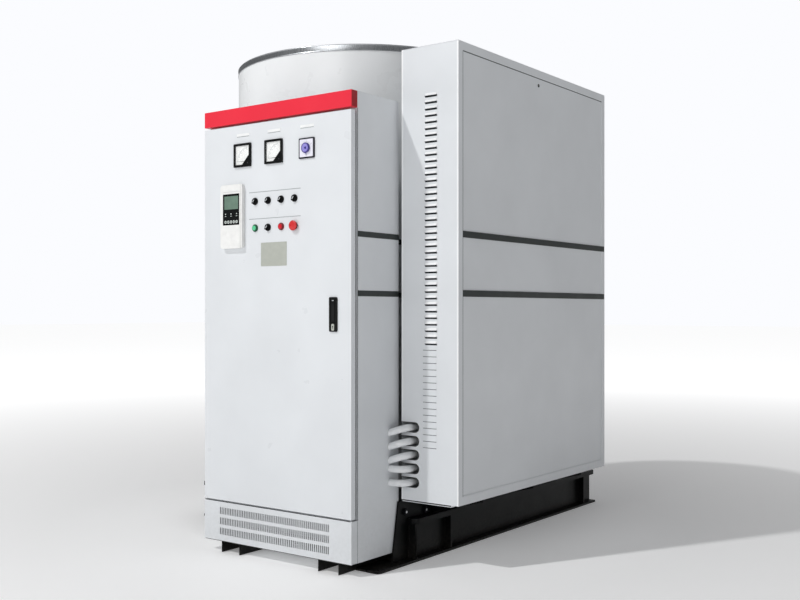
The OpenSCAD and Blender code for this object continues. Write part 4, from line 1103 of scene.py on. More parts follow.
@dataclass(frozen=True)
class TerminalBox:
    """Tall box over the heater flanges: louvred front with conduit slots, and its side."""

    left: float = 657.0
    right: float = 927.0
    face: float = -589.0
    sheet: float = 2.0
    bottom: float = 257.0
    top: float = 2038.0
    louvre_middle: float = 800.0
    louvre_width: float = 58.0
    louvre_height: float = 12.2
    louvre_reach: float = 6.0
    louvre_low: float = 471.0
    louvre_step: float = 25.4074
    louvres: int = 55
    shallow: int = 16
    shallow_middle: float = 793.0
    shallow_width: float = 66.0
    shallow_reach: float = 1.4
    pressed: float = 1.2
    guard_drop: float = 7.4
    fold: float = 7.0
    lip: Point = (659.0, 891.0)
    lip_shade: float = 4.6
    slot_low: float = 328.0
    slot_step: float = 54.3
    slots: int = 5
    slot_height: float = 41.0
    slot_run: float = 85.0
    seam: float = 3.5
    panel: Sizes = (-559.0, 657.0, 289.0, 2006.0)
    seal_thick: float = 1.0
    filler_thick: float = 1.9
    lock_y: float = 40.0
    lock_z: float = 1974.0
    lock: float = 7.0
    strips: Point = (1059.0, 1287.0)
    strip_high: float = 25.0
    strip_thick: float = 1.5
    strip_past: float = 23.0

    def hood(self, out: float, width: float) -> Mesh:
        """Makes one pressed hood, open below, its foot at height 0 of the sheet's face.

        Args:
            out: how far it stands out.
            width: from end to end.
        """
        h, t, half = self.louvre_height, self.pressed, width / 2
        curve = [(h * 0.8, 0.0), (h * 0.74, out * 0.14), (h * 0.12, out * 0.97), (h * 0.05, out), (0.0, out)]
        across = [(-half, 0.0), (-half + out * 0.5, 1.0), (half - out * 0.5, 1.0), (half, 0.0)]
        front = [[(x, y, z * s) for x, s in across] for y, z in curve]
        sunk = [(y - t if y > 0 else 0.0, max(z - t, 0.0)) for y, z in curve]
        back = [[(x - math.copysign(t, x), y, z * s - 0.3 * (1 - s)) for x, s in across] for y, z in sunk]
        return skin(front, back)

    def guard(self, out: float, low: float, width: float) -> Mesh:
        """Makes the dark strip, painted shade, that slopes from a hood's lip back to the sheet.

        Args:
            out: how far the hood's lip stands out.
            low: how far below the lip the guard meets the sheet.
            width: of the hood above it.
        """
        half = width / 2 - self.pressed
        front, back = (
            [[(x, y + 0.5, z) for x in (-half, half)] for y, z in ((lift, out), (lift - low, 0.05))]
            for lift in (0.0, 0.6)
        )
        return skin(front, back)

    @property
    def spans(self) -> tuple[Point, Point]:
        """Middle and width of the shallow louvres, then of the deep ones."""
        return (self.shallow_middle, self.shallow_width), (self.louvre_middle, self.louvre_width)

    def outline(self) -> Loop:
        """Returns the front sheet's outline with its open slots down the left edge."""
        r = self.slot_height / 2
        left, right, low, high = self.left, self.right, self.bottom, self.top
        loop = [(left, low), (right, low), (right, high), (left, high)]
        for i in reversed(range(self.slots)):
            z = self.slot_low + i * self.slot_step
            loop += [(left, z + r), *arc(left + self.slot_run - r, z, r, 90, -90, 14), (left, z - r)]
        return loop

    def build(self) -> None:
        """Builds the front with its hoods, then the side panel with its seam and its lock."""
        holes = []
        for i in range(self.louvres):
            z = self.louvre_low + i * self.louvre_step
            x, width = self.spans[i >= self.shallow]
            half = width / 2 - self.pressed
            holes.append(rounded(x - half, x + half, z, z + self.louvre_height * 0.8 - 1.8, 0))
        front = Piece("louvred_front")
        sheet = plate([self.outline(), *holes], self.sheet, 0.35)
        front.add(sheet, LIGHT_PAINT, Facing.FRONT.at(0, self.face + self.sheet, 0))
        (low_x, low_wide), (high_x, high_wide) = self.spans
        low_rows, high_rows = range(self.shallow), range(self.shallow, self.louvres)
        flat, deep, drop = self.shallow_reach, self.louvre_reach, self.guard_drop
        # Painted highlight: the deep hoods take the whiter coat. Painted shade: a grey strip under each
        # shallow hood and a dark strip under each deep one.
        for name, mesh, finish, x, rows in (
            ("shallow_row", self.hood(flat, low_wide), LIGHT_PAINT, low_x, low_rows),
            ("hood_row", self.hood(deep, high_wide), HIGHLIGHT_PAINT, high_x, high_rows),
            ("shade_row", self.guard(flat - 0.2, drop * 0.4, low_wide), SEAM_SHADE, low_x, low_rows),
            ("deep_shade_row", self.guard(deep - 0.4, drop, high_wide), HOOD_SHADE_SHEET, high_x, high_rows),
        ):
            row = repeat_in_grid(name, mesh, finish, 1, len(rows), (1, self.louvre_step))
            middle = self.louvre_low + (rows[0] + rows[-1]) / 2 * self.louvre_step
            front.add(row, finish, Facing.FRONT.at(x, self.face, middle))
        past = self.slot_height / 2 + 2
        slots_top, slots_foot = self.slot_low + (self.slots - 1) * self.slot_step + past, self.slot_low - past
        # Thin strips in the whiter coat along the front's vertical edges: a painted highlight on the folds.
        thin = 0.3
        for x0, z0, z1 in (
            (self.left, slots_top, self.top), (self.left, self.bottom, slots_foot),
            (self.right - self.fold, self.bottom, self.top),
        ):
            edges = (x0 + thin, x0 + self.fold - thin, z0 + thin, z1 - thin)
            front.add(plate([rounded(*edges, thin)], thin, 0.1), HIGHLIGHT_PAINT, Facing.FRONT.at(0, self.face, 0))
        # A black strip under the front's lower edge: painted shade between the sheet and its lip.
        (x0, x1), (y0, y1) = self.lip, (self.face + 1.6, self.face + 3.2)
        front.add(block((x0, y0, self.bottom - self.lip_shade), (x1, y1, self.bottom), 0.2, 1), RUBBER_AND_SHADE_LINE)
        front.done("boiler", "louvre_panel")
        side = Dressing(LIGHT_PAINT, edge=0.8).start("side_panel")
        y0, y1, z0, z1 = self.panel
        x, w = self.right - self.sheet, self.seam
        sunk, flush = self.seal_thick, self.filler_thick
        # Left and top runs: grey lines painted as the seam's shade; the rear and bottom runs fill the gap in
        # the panel's own coat.
        for finish, thick, edges in (
            (SEAM_SHADE, sunk, (y0, y0 + w, z0, z1)), (SEAM_SHADE, sunk, (y0 + w, y1, z1 - w, z1)),
            (LIGHT_PAINT, flush, (y1 - w, y1, z0, z1 - w)),
            (LIGHT_PAINT, flush, (y0 + w, y1 - w, z0, z0 + w)),
        ):
            side.add(plate([rounded(*edges, 0)], thick, 0.1), finish, Facing.RIGHT.at(x, 0, 0))
        lock = Facing.RIGHT.at(x, self.lock_y, self.lock_z, 90)
        side.add(plate([circle(0, 0, self.lock, 24)], 1.0, 0.3), SATIN_BLACK, lock)
        side.add(tile(1.2, 4.5, 1.0, 0.2), ZINC, lock @ shift(0, 0, 1.0))
        side.done("boiler", "side_panel")
        self.build_strips()

    def build_strips(self) -> None:
        """Dresses the trim strips and draws those on the side from the front seam to the rear edge."""
        whole = cad_copy("trim_strips", 0.5, 30)
        others = bmesh.new()
        others.from_mesh(whole)
        on_panel = [v for v in others.verts if v.co.x > self.right - 2 * self.sheet]
        bmesh.ops.delete(others, geom=on_panel, context="VERTS")
        others.to_mesh(whole)
        others.free()
        piece = Piece("trim_strips_dressed").add(whole, TRIM_ENAMEL)
        x0, x1 = self.right - self.sheet, self.right + self.strip_thick
        y0, y1 = self.panel[0], self.panel[1] + self.strip_past
        for z in self.strips:
            piece.add(block((x0, y0, z), (x1, y1, z + self.strip_high), 0.4), TRIM_ENAMEL)
        piece.done("boiler", "trim_strips")


@dataclass(frozen=True)
class Conduits:
    """Five bent conduits between the cabinet and the box."""

    radius: float = 14.0
    wall: float = 2.0
    bend: float = 42.0
    run_x: float = 702.0
    cabinet_x: float = 637.0
    axis_y: float = -639.0
    inner: float = 16.0
    tail: float = 60.0
    low: float = 328.0
    step: float = 54.3
    count: int = 5
    level: int = 2
    drop: float = 20.0

    def path(self, i: int) -> list[Point3]:
        """Returns the middle line of one conduit, tilted where it comes from lower down."""
        tilt = 0.0 if i < self.level else math.asin(self.drop / (self.run_x - self.cabinet_x))
        corner_y = self.axis_y + self.bend
        flat = [(-(self.run_x - self.cabinet_x) - self.inner, self.axis_y)]
        flat += arc(-self.bend, corner_y, self.bend, -90, 0, 16)
        flat.append((0.0, corner_y + self.tail))
        z = self.low + i * self.step
        return [(self.run_x + x * math.cos(tilt), y, z + x * math.sin(tilt)) for x, y in flat]

    def build(self) -> None:
        """Builds the five pipes as one piece."""
        piece = Piece("bent_conduits")
        for i in range(self.count):
            piece.add(swept(self.path(i), self.radius, self.radius - self.wall, 32), CONDUIT_PVC)
        piece.done("boiler", "conduits", sharp_deg=60)


@dataclass(frozen=True)
class ControlCabinet:
    """Outer body of the control cabinet with its slotted plinth plate."""

    left: float = -163.0
    right: float = 637.0
    front: float = -879.0
    body_front: float = -843.0
    sheet: float = 2.0
    foot: float = 48.0
    plinth_top: float = 212.0
    top: float = 1838.0
    slots: int = 60
    slot_step: float = 10.0
    slot_width: float = 5.0
    slot_height: float = 30.0
    slot_shift: float = -10.0
    rows: int = 3
    row_step: float = 42.5
    line: float = 2.4
    header: float = 64.0
    cap: float = 0.4

    def slot_loops(self) -> list[Loop]:
        """Returns the outlines of all air slots in the plinth plate."""
        middle_x = (self.left + self.right) / 2 + self.slot_shift
        middle_z = (self.foot + self.plinth_top) / 2
        loops = []
        for row in range(self.rows):
            z = middle_z + (row - (self.rows - 1) / 2) * self.row_step
            for i in range(self.slots):
                x = middle_x + (i - (self.slots - 1) / 2) * self.slot_step
                loops.append(rounded(
                    x - self.slot_width / 2, x + self.slot_width / 2, z - self.slot_height / 2,
                    z + self.slot_height / 2, self.slot_width * 0.45, 2,
                ))
        return loops

    def build(self) -> None:
        """Builds the body with its seal lines, the header, then the plinth plate; the grey line down the
        plinth's seam and the header's darker ends are painted shade.
        """
        left, right, foot, plinth_top = self.left, self.right, self.foot, self.plinth_top
        front, depth, sheet, line = self.front, self.body_front, self.sheet, self.line
        body = Dressing(LIGHT_PAINT, edge=1.2, shortest=40).start("cabinet_body")
        # The grey line down the plinth's seam is painted shade in the groove.
        for finish, wide, z0, z1 in (
            (RUBBER_AND_SHADE_LINE, line, plinth_top, self.top - self.header), (SEAM_SHADE, line / 2, foot, plinth_top),
        ):
            body.add(block((right - 0.3, depth, z0), (right + 0.25, depth + wide, z1), 0.05, 1), finish)
        body.done("boiler", "cabinet_body")
        header = Dressing(RED_ENAMEL, edge=1.2).start("header")
        half_y, half_z = (depth - front) / 2 - 1.6, self.header / 2 - 1.6
        # Deeper red plates on the header's ends: painted shade.
        for facing, x in ((Facing.RIGHT, right), (Facing.LEFT, left)):
            spot = facing.at(x, (front + depth) / 2, self.top - self.header / 2)
            header.add(tile(half_y, half_z, 0.5, self.cap), RED_END_SHADE, spot)
        header.done("boiler", "header")
        plinth = Piece("plinth_slotted")
        frontal = plate([rounded(left, right, foot, plinth_top, 0), *self.slot_loops()], sheet, 0.3)
        plinth.add(frontal, LIGHT_PAINT, Facing.FRONT.at(0, front + sheet, 0))
        for (x0, z0), (x1, z1) in (
            ((left, foot), (left + sheet, plinth_top)), ((right - sheet, foot), (right, plinth_top)),
            ((left, foot), (right, foot + sheet)), ((left, plinth_top - sheet), (right, plinth_top)),
        ):
            plinth.add(block((x0, front + sheet * 0.6, z0), (x1, depth, z1), 0.4, 1), LIGHT_PAINT)
        for y, z in ((front - 0.25, plinth_top - line), (front + 0.8, foot - line)):
            plinth.add(block((left + 4, y, z), (right - 4, y + 1.2, z + line + 0.1), 0.05, 1), RUBBER_AND_SHADE_LINE)
        plinth.done("boiler", "plinth_grille")


@dataclass(frozen=True)
class CabinetInside:
    """Mounting plate and the devices on it, seen when the door stands open."""

    plate_front: float = -630.0
    left: float = -163.0
    breaker: Sizes = (-43.0, 1380.0, 140.0, 220.0, 90.0)
    toggle_reach: float = 103.5
    contactor: Sizes = (-43.0, 1060.0, 110.0, 140.0, 100.0)
    contactor_step: float = 190.0
    contactors: int = 3
    contactor_nose: float = 120.0
    rail: Sizes = (-53.0, 520.0, 580.0, 35.0, 8.0)
    terminals: int = 24
    terminal_width: float = 18.0
    terminal_height: float = 52.5
    terminal_depth: float = 50.0
    trunks: Sizes = (430.0, 960.0, 1290.0)
    trunk: Sizes = (-63.0, 600.0, 40.0, 60.0)
    finger: float = 8.0
    finger_step: float = 12.0
    screw_columns: Sizes = (90.0, 710.0)
    screw_rows: Sizes = (300.0, 680.0, 1000.0, 1340.0, 1680.0)

    def put(self, piece: Piece, mesh: Mesh, finish: Finish, x: float, z: float, out: float = 0.0) -> None:
        """Adds a shape in front of the plate; x and z are the place of its own middle."""
        piece.add(mesh, finish, Facing.FRONT.at(x, self.plate_front - out, z))

    def slab(self, piece: Piece, finish: Finish, box: Sizes, out: float, edge: float) -> None:
        """Adds a rounded case: x, z, width, height, depth, standing out from the plate."""
        x, z, w, h, d = box
        self.put(piece, block((0, 0, 0), (w, h, d), edge), finish, x, z, out)

    def build(self) -> None:
        """Builds every device."""
        plate_piece = Dressing(ZINC, edge=0.6).start("mounting_plate")
        for x in self.screw_columns:
            for z in self.screw_rows:
                self.put(plate_piece, pan_head(5, 3), ZINC, self.left + x, z)
        plate_piece.done("boiler", "mounting_plate")
        self.build_breaker()
        self.build_contactors()
        self.build_terminals()
        self.build_trunking()

    def wire(
        self, piece: Piece, x: float, screw_z: float, trunk_z: float, out: float, radius: float, k: int
    ) -> None:
        """Runs one phase wire from a screw into the trunking, with a slight bow.

        Args:
            piece: the device's piece.
            x: place of the screw.
            screw_z: height of the screw.
            trunk_z: height of the trunking's near edge.
            out: how far the screw stands out from the plate.
            radius: of the wire.
            k: number of the phase, which gives its colour.
        """
        z = screw_z + math.copysign(9, trunk_z - screw_z)
        path = []
        for i in range(9):
            t = i / 8
            bow = math.sin(math.pi * t)
            path.append((x + (k - 1) * 1.5 * bow, z + (trunk_z - z) * t, out - (out - 26) * t * t + 4 * bow))
        self.put(piece, swept(path, radius, 0, 10), (BROWN_WIRE, BLACK_WIRE, GREY_WIRE)[k % 3], 0, 0)

    def build_breaker(self) -> None:
        """Builds the moulded-case breaker: case, raised cover, toggle, screws and terminals."""
        x, z, w, h, d = self.breaker
        piece = Piece("main_breaker")
        self.slab(piece, BLACK_PA, (x, z, w, h, d * 0.66), 0, 3)
        self.slab(piece, SATIN_BLACK, (x + 3, z + h * 0.2, w - 6, h * 0.6, d * 0.24), d * 0.64, 2)
        self.slab(piece, BLACK_PA, (x + w * 0.28, z + h * 0.3, w * 0.44, h * 0.4, d * 0.12), d * 0.87, 2)
        grip = (x + w * 0.42, z + h * 0.5, w * 0.16, h * 0.09, self.toggle_reach - d * 0.97)
        self.slab(piece, BARE_PLATE, grip, d * 0.97, 2)
        self.slab(piece, BARE_PLATE, (x + w * 0.32, z + h * 0.23, w * 0.36, h * 0.045, 0.8), d * 0.88, 0.2)
        for k in range(3):
            centre = x + w * (k + 0.5) / 3
            for row in (0.07, 0.93):
                self.slab(piece, BRASS, (centre - 11, z + h * row - 10, 22, 20, 4), d * 0.65, 0.8)
                if row < 0.5:
                    self.wire(piece, centre, z, self.trunks[2] + self.trunk[2], d * 0.5, 5, k)
                self.put(piece, hex_head(10, 5), ZINC, centre, z + h * row, d * 0.65 + 4)
            for side in (0.24, 0.76):
                self.put(piece, pan_head(3.5, 1.6), ZINC, centre, z + h * side, d * 0.88)
        piece.done("boiler", "breaker")

    def build_contactors(self) -> None:
        """Builds the contactors: base, nose with its slider, arc vents and terminal screws."""
        x0, z, w, h, d = self.contactor
        piece = Piece("contactors_moulded")
        for i in range(self.contactors):
            x = x0 + i * self.contactor_step
            self.slab(piece, BLACK_PA, (x, z, w, h, d * 0.55), 0, 3)
            self.slab(piece, SATIN_BLACK, (x + 2, z + h * 0.17, w - 4, h * 0.66, d * 0.45), d * 0.53, 2.5)
            nose = (x + w * 0.2, z + h * 0.25, w * 0.6, h * 0.5, self.contactor_nose - d * 0.96)
            self.slab(piece, BLACK_PA, nose, d * 0.96, 2.5)
            mark = (x + w * 0.42, z + h * 0.42, w * 0.16, h * 0.16, 2)
            self.slab(piece, TERMINAL_PA, mark, self.contactor_nose - 2.4, 0.5)
            slot = block((-3.5, -6, 0), (3.5, 6, 0.8), 0.3, 1)
            vents = repeat_in_grid(f"arc_vents_{i}", slot, BARE_PLATE, 7, 1, (13, 1))
            self.put(piece, vents, BARE_PLATE, x + w / 2, z + h * 0.215, d * 0.975)
            for k in range(3):
                centre = x + w * (k + 0.5) / 3
                for row in (0.08, 0.92):
                    self.slab(piece, BRASS, (centre - 9, z + h * row - 8, 18, 16, 3), d * 0.54, 0.6)
                    self.put(piece, pan_head(5, 3), ZINC, centre, z + h * row, d * 0.54 + 3)
                    goal = self.trunks[1] + self.trunk[2] if row < 0.5 else self.trunks[2]
                    self.wire(piece, centre, z if row < 0.5 else z + h, goal, d * 0.4, 4, k)
        piece.done("boiler", "contactors")

    def build_terminals(self) -> None:
        """Builds the hat rail with its row of screw terminals."""
        x, z, w, h, d = self.rail
        piece = Piece("terminal_row")
        self.slab(piece, ZINC, (x, z, w, h, 1.5), 0, 0.4)
        for edge in (0.0, h - 4):
            self.slab(piece, ZINC, (x, z + edge, w, 4, d), 0, 0.6)
        step = self.terminal_width * 1.1
        first = x + self.terminal_width
        count = self.terminals
        middle = first + self.terminal_width / 2 + step * (count - 1) / 2
        tall, deep, half = self.terminal_height, self.terminal_depth, self.terminal_width / 2
        edge = [(tall / 2, 0), (tall / 2, deep * 0.55), (tall * 0.3, deep * 0.62), (tall * 0.22, deep)]
        body = plate([[(-tall / 2, 0), *edge, *((-y, z) for y, z in reversed(edge[1:]))]], half * 2, 0.8)
        body.transform(turned(90, "Z") @ turned(90, "X"))
        body.transform(shift(-half - min(v.co.x for v in body.vertices), 0, 0))
        row_z = z + h / 2
        row = repeat_in_grid("terminals", body, TERMINAL_PA, count, 1, (step, 1))
        self.put(piece, row, TERMINAL_PA, middle, row_z)
        for side in (-0.4, 0.4):
            heads = repeat_in_grid(f"clamp_screws_{side}", pan_head(4, 2), ZINC, count, 1, (step, 1))
            self.put(piece, heads, ZINC, middle, row_z + tall * side, deep * 0.57)
        for k in range(count):
            x_wire = middle + (k - (count - 1) / 2) * step
            self.wire(piece, x_wire, row_z - tall / 2 + 9, self.trunks[0] + self.trunk[2], 22, 2, k)
        tag = block((-5, -4, 0), (5, 4, 0.6), 0.2, 1)
        tags = repeat_in_grid("blank_tags", tag, WHITE_LAMINATE, count, 1, (step, 1))
        self.put(piece, tags, WHITE_LAMINATE, middle, row_z, deep - 0.6)
        piece.done("boiler", "terminal_rail")

    def build_trunking(self) -> None:
        """Builds the cable trunking: back, lid and a comb of fingers along both sides."""
        x, w, h, d = self.trunk
        piece = Piece("slotted_trunking")
        pitch, half = self.finger_step, self.finger / 2
        count = int(w / pitch)
        for index, z in enumerate(self.trunks):
            self.slab(piece, GREY_PVC, (x, z, w, h, 2), 0, 0.3)
            self.slab(piece, GREY_PVC, (x, z, w, h, 2.4), d - 2.4, 0.8)
            for edge in (0.0, h - 2):
                self.slab(piece, GREY_PVC, (x, z + edge, w, 2, 12), 0, 0.3)
                tooth = block((-half, 0, 0), (half, 2, d - 13), 0.3, 1)
                comb = repeat_in_grid(f"fingers_{index}_{edge:.0f}", tooth, GREY_PVC, count, 1, (pitch, 1))
                self.put(piece, comb, GREY_PVC, x + w / 2, z + edge, 11.5)
        piece.done("boiler", "cable_trunking")


@dataclass(frozen=True)
class DoorFace:
    """Places on the door's face, measured from its left side and the floor."""

    left: float = -163.0
    face: float = -879.0

    def at(self, x: float, z: float, out: float = 0.0, turn_deg: float = 0.0) -> Matrix:
        """Returns the matrix of a place on the door, out in front of its face."""
        return Facing.FRONT.at(self.left + x, self.face - out, z, turn_deg)


@dataclass(frozen=True)
class PanelMeters(DoorFace):
    """Two square pointer meters with a quarter-circle scale and a covered corner."""

    places: Sizes = (228.0, 402.0)
    height: float = 1640.0
    width: float = 96.0
    rim: float = 6.0
    lip: float = 3.2
    proud: float = 8.0
    depth: float = 50.0
    glass: float = 2.0
    dial_back: float = 1.0
    dial_front: float = 2.5
    pivot: float = 24.96
    corner: float = 38.0
    scale_radius: float = 54.0
    needle: float = 58.0
    ends: tuple[int, ...] = (500, 400)

    def build(self) -> None:
        """Builds the cases, dials, glasses and both needles."""
        cases, dials, glasses = Piece("meter_frames"), Piece("meter_scales"), Piece("meter_panes")
        half, inner = self.width / 2, self.width / 2 - self.rim
        for x, end, side in zip(self.places, self.ends, ("left", "right")):
            spot, opening = self.at(x, self.height), inner - self.lip
            loops = [centred(half, half, 3), centred(opening, opening, 1)]
            cases.add(plate(loops, self.proud, 0.8), SATIN_BLACK, spot)
            back = half - 2.5
            shell = block((-back, -back, -self.depth), (back, back, self.dial_back - 1.6), 2)
            cases.add(shell, BLACK_PA, spot)
            for x_stud in (-18, 18):
                stud = swept([(x_stud, -12, 1 - self.depth), (x_stud, -12, -12 - self.depth)], 2.4, 0, 12)
                cases.add(stud, BRASS, spot)
                cases.add(hex_head(8, 3.5), ZINC, spot @ shift(x_stud, -12, -self.depth - 5))
            leg, cover, edge = self.corner, self.glass + 0.6, opening + 0.2
            triangle = [(edge, -edge), (edge, leg - opening), (opening - leg, -edge)]
            lid = self.at(x, self.height, self.proud - cover - 0.5)
            cases.add(plate([triangle], cover, 0.2), SATIN_BLACK, lid)
            cases.add(pan_head(2.6, 0.5), DARK_PRINT, lid @ shift(inner - 9, 9 - inner, cover))
            self.add_dial(dials, x, end)
            pane = opening - 0.1
            cut = pane - leg - 0.2
            pane_loop = [(-pane, -pane), (cut, -pane), (pane, -cut), (pane, pane), (-pane, pane)]
            glass = plate([pane_loop], self.glass, 0.3)
            glasses.add(glass, CLEAR_GLASS, self.at(x, self.height, self.proud - self.glass))
            self.add_needle(x, side)
        cases.done("door", "meter_cases")
        dials.done("door", "meter_dials")
        glasses.done("door", "meter_glasses")

    def add_dial(self, piece: Piece, x: float, end: int) -> None:
        """Adds a white card with a quarter-circle scale and plain numbers.

        Args:
            piece: the dials' piece.
            x: place of the meter on the door.
            end: number at the scale's end.
        """
        inner = self.width / 2 - self.rim - self.lip - 0.1
        bore = circle(self.pivot, -self.pivot, 1.3, 16)
        card = plate([centred(inner, inner, 0), bore], self.dial_front - self.dial_back)
        piece.add(card, DIAL_CARD, self.at(x, self.height, self.dial_back))
        hub = self.at(x, self.height, self.dial_front) @ shift(self.pivot, -self.pivot, 0)
        r = self.scale_radius
        band = arc(0, 0, r, 92, 178, 30) + arc(0, 0, r - 1.1, 178, 92, 30)
        piece.add(plate([band], 0.12), GREY_PRINT, hub)
        for name, count, long, wide in (("minor", 41, 2.4, 0.3), ("major", 5, 4.5, 0.7)):
            tick = block((0, -wide / 2, 0), (long, wide / 2, 0.12))
            ring = repeat_in_ring(f"{name}_ticks_{end}", tick, GREY_PRINT, count, r - 0.5, (92, 178))
            piece.add(ring, GREY_PRINT, hub)
        for k in range(5):
            angle = math.radians(178 - 86 * k / 4)
            spot = Matrix.Translation(((r - 6) * math.cos(angle), (r - 6) * math.sin(angle), 0))
            piece.add(digits(str(end * k // 4), 4.4, 0.12), GREY_PRINT, hub @ spot)

    def add_needle(self, x: float, side: str) -> None:
        """Adds a tapered pointer with its hub and axle, lying at zero."""
        base = self.at(x, self.height, self.dial_front + 0.3) @ shift(self.pivot, -self.pivot, 0)
        edge = [(-self.needle, 0.15), (-self.needle * 0.7, 0.5), (0, 0.9), (7, 1.1)]
        pointer = [edge[0], *((x, -y) for x, y in edge), *reversed(edge[1:])]
        piece = Piece(f"{side}_pointer").add(plate([pointer], 0.6), SATIN_BLACK, base)
        hub = [(0, 0.8), (2.0, 0.8), (2.4, 0.5), (2.4, 0), (1.2, 0), (1.2, -1.8), (0, -1.8)]
        piece.add(lathe(hub, 20), SATIN_BLACK, base)
        piece.done(f"{side}_needle", f"{side}_needle")


@dataclass(frozen=True)
class TemperatureController(DoorFace):
    """White wall controller with a black window, a grey-green display and touch keys."""

    x: float = 176.0
    z: float = 1391.0
    width: float = 124.0
    height: float = 262.0
    corner: float = 13.0
    thick: float = 18.0
    face_layer: float = 3.0
    groove_x: float = 52.0
    groove: float = 1.6
    window: Point = (95.0, 128.0)
    rise: float = 29.0
    display: Point = (80.0, 54.0)
    keys: int = 5

    def build(self) -> None:
        """Builds the case with its groove, then the window with display, marks and keys."""
        w, h = self.width / 2, self.height / 2
        case = Piece("controller_moulding")
        r = self.corner
        base = plate([centred(w, h, r, 6)], self.thick - self.face_layer + 0.4, 0.8)
        case.add(base, WHITE_ABS, self.at(self.x, self.z))
        ww, wh = self.window[0] / 2, self.window[1] / 2
        hole = rounded(-ww, ww, self.rise - wh, self.rise + wh, 2)
        split = self.groove_x
        lift = self.at(self.x, self.z, self.thick - self.face_layer)
        cut = [(split, -h), (split, h)]
        left_part = arc(r - w, r - h, r, 180, 270, 6) + cut + arc(r - w, h - r, r, 90, 180, 6)
        case.add(plate([left_part, hole], self.face_layer, 0.7), WHITE_ABS, lift)
        start = split + self.groove
        end = w - start - 0.5
        right_part = arc(start + 0.5, end - h, end, 270, 360, 6) + arc(start + 0.5, h - end, end, 0, 90, 6)
        case.add(plate([[(start, -h), *right_part, (start, h)]], self.face_layer - 0.8, 0.7), WHITE_ABS, lift)
        line = block((-ww, self.rise + wh + 8, self.thick), (ww, self.rise + wh + 9, self.thick + 0.05))
        case.add(line, RULE_INK_AND_SHADE, self.at(self.x, self.z, -0.05))
        case.done("door", "controller_case")
        self.build_window()

    def build_window(self) -> None:
        """Builds the black window, the display and the two rows of marks and keys."""
        ww, wh = self.window[0] / 2 - 0.15, self.window[1] / 2 - 0.15
        centre = self.z + self.rise
        piece = Piece("controller_window")
        bezel = tile(ww, wh, 2, 2.2, 0.25)
        piece.add(bezel, SCREEN_FRAME, self.at(self.x, centre, self.thick - 2.6))
        glass = self.thick - 0.4
        dw, dh = self.display[0] / 2, self.display[1] / 2
        up = wh - dh - 9
        lcd = plate([rounded(1 - dw, 1 + dw, up - dh, up + dh, 1)], 0.12)
        piece.add(lcd, LCD_GLASS, self.at(self.x, centre, glass))
        step = self.display[0] / self.keys
        for name, mark, down in (
            ("status_lamps", circle(0, 0, 2.6, 12), 18), ("status_bars", centred(4, 1, 0.8), 27)
        ):
            row = repeat_in_grid(name, plate([mark], 0.12), SCREEN_PRINT, 3, 1, (step * 2, 1))
            piece.add(row, SCREEN_PRINT, self.at(self.x, centre - down, glass))
        ring, dot = [circle(0, 0, 6.2, 20), circle(0, 0, 3.4, 16)], [circle(0, 0, 1.5, 12)]
        for name, loops in (("touch_keys", ring), ("key_signs", dot)):
            row = repeat_in_grid(name, plate(loops, 0.12), SCREEN_PRINT, self.keys, 1, (step, 1))
            piece.add(row, SCREEN_PRINT, self.at(self.x, centre - wh + 13, glass))
        piece.done("door", "controller_screen")


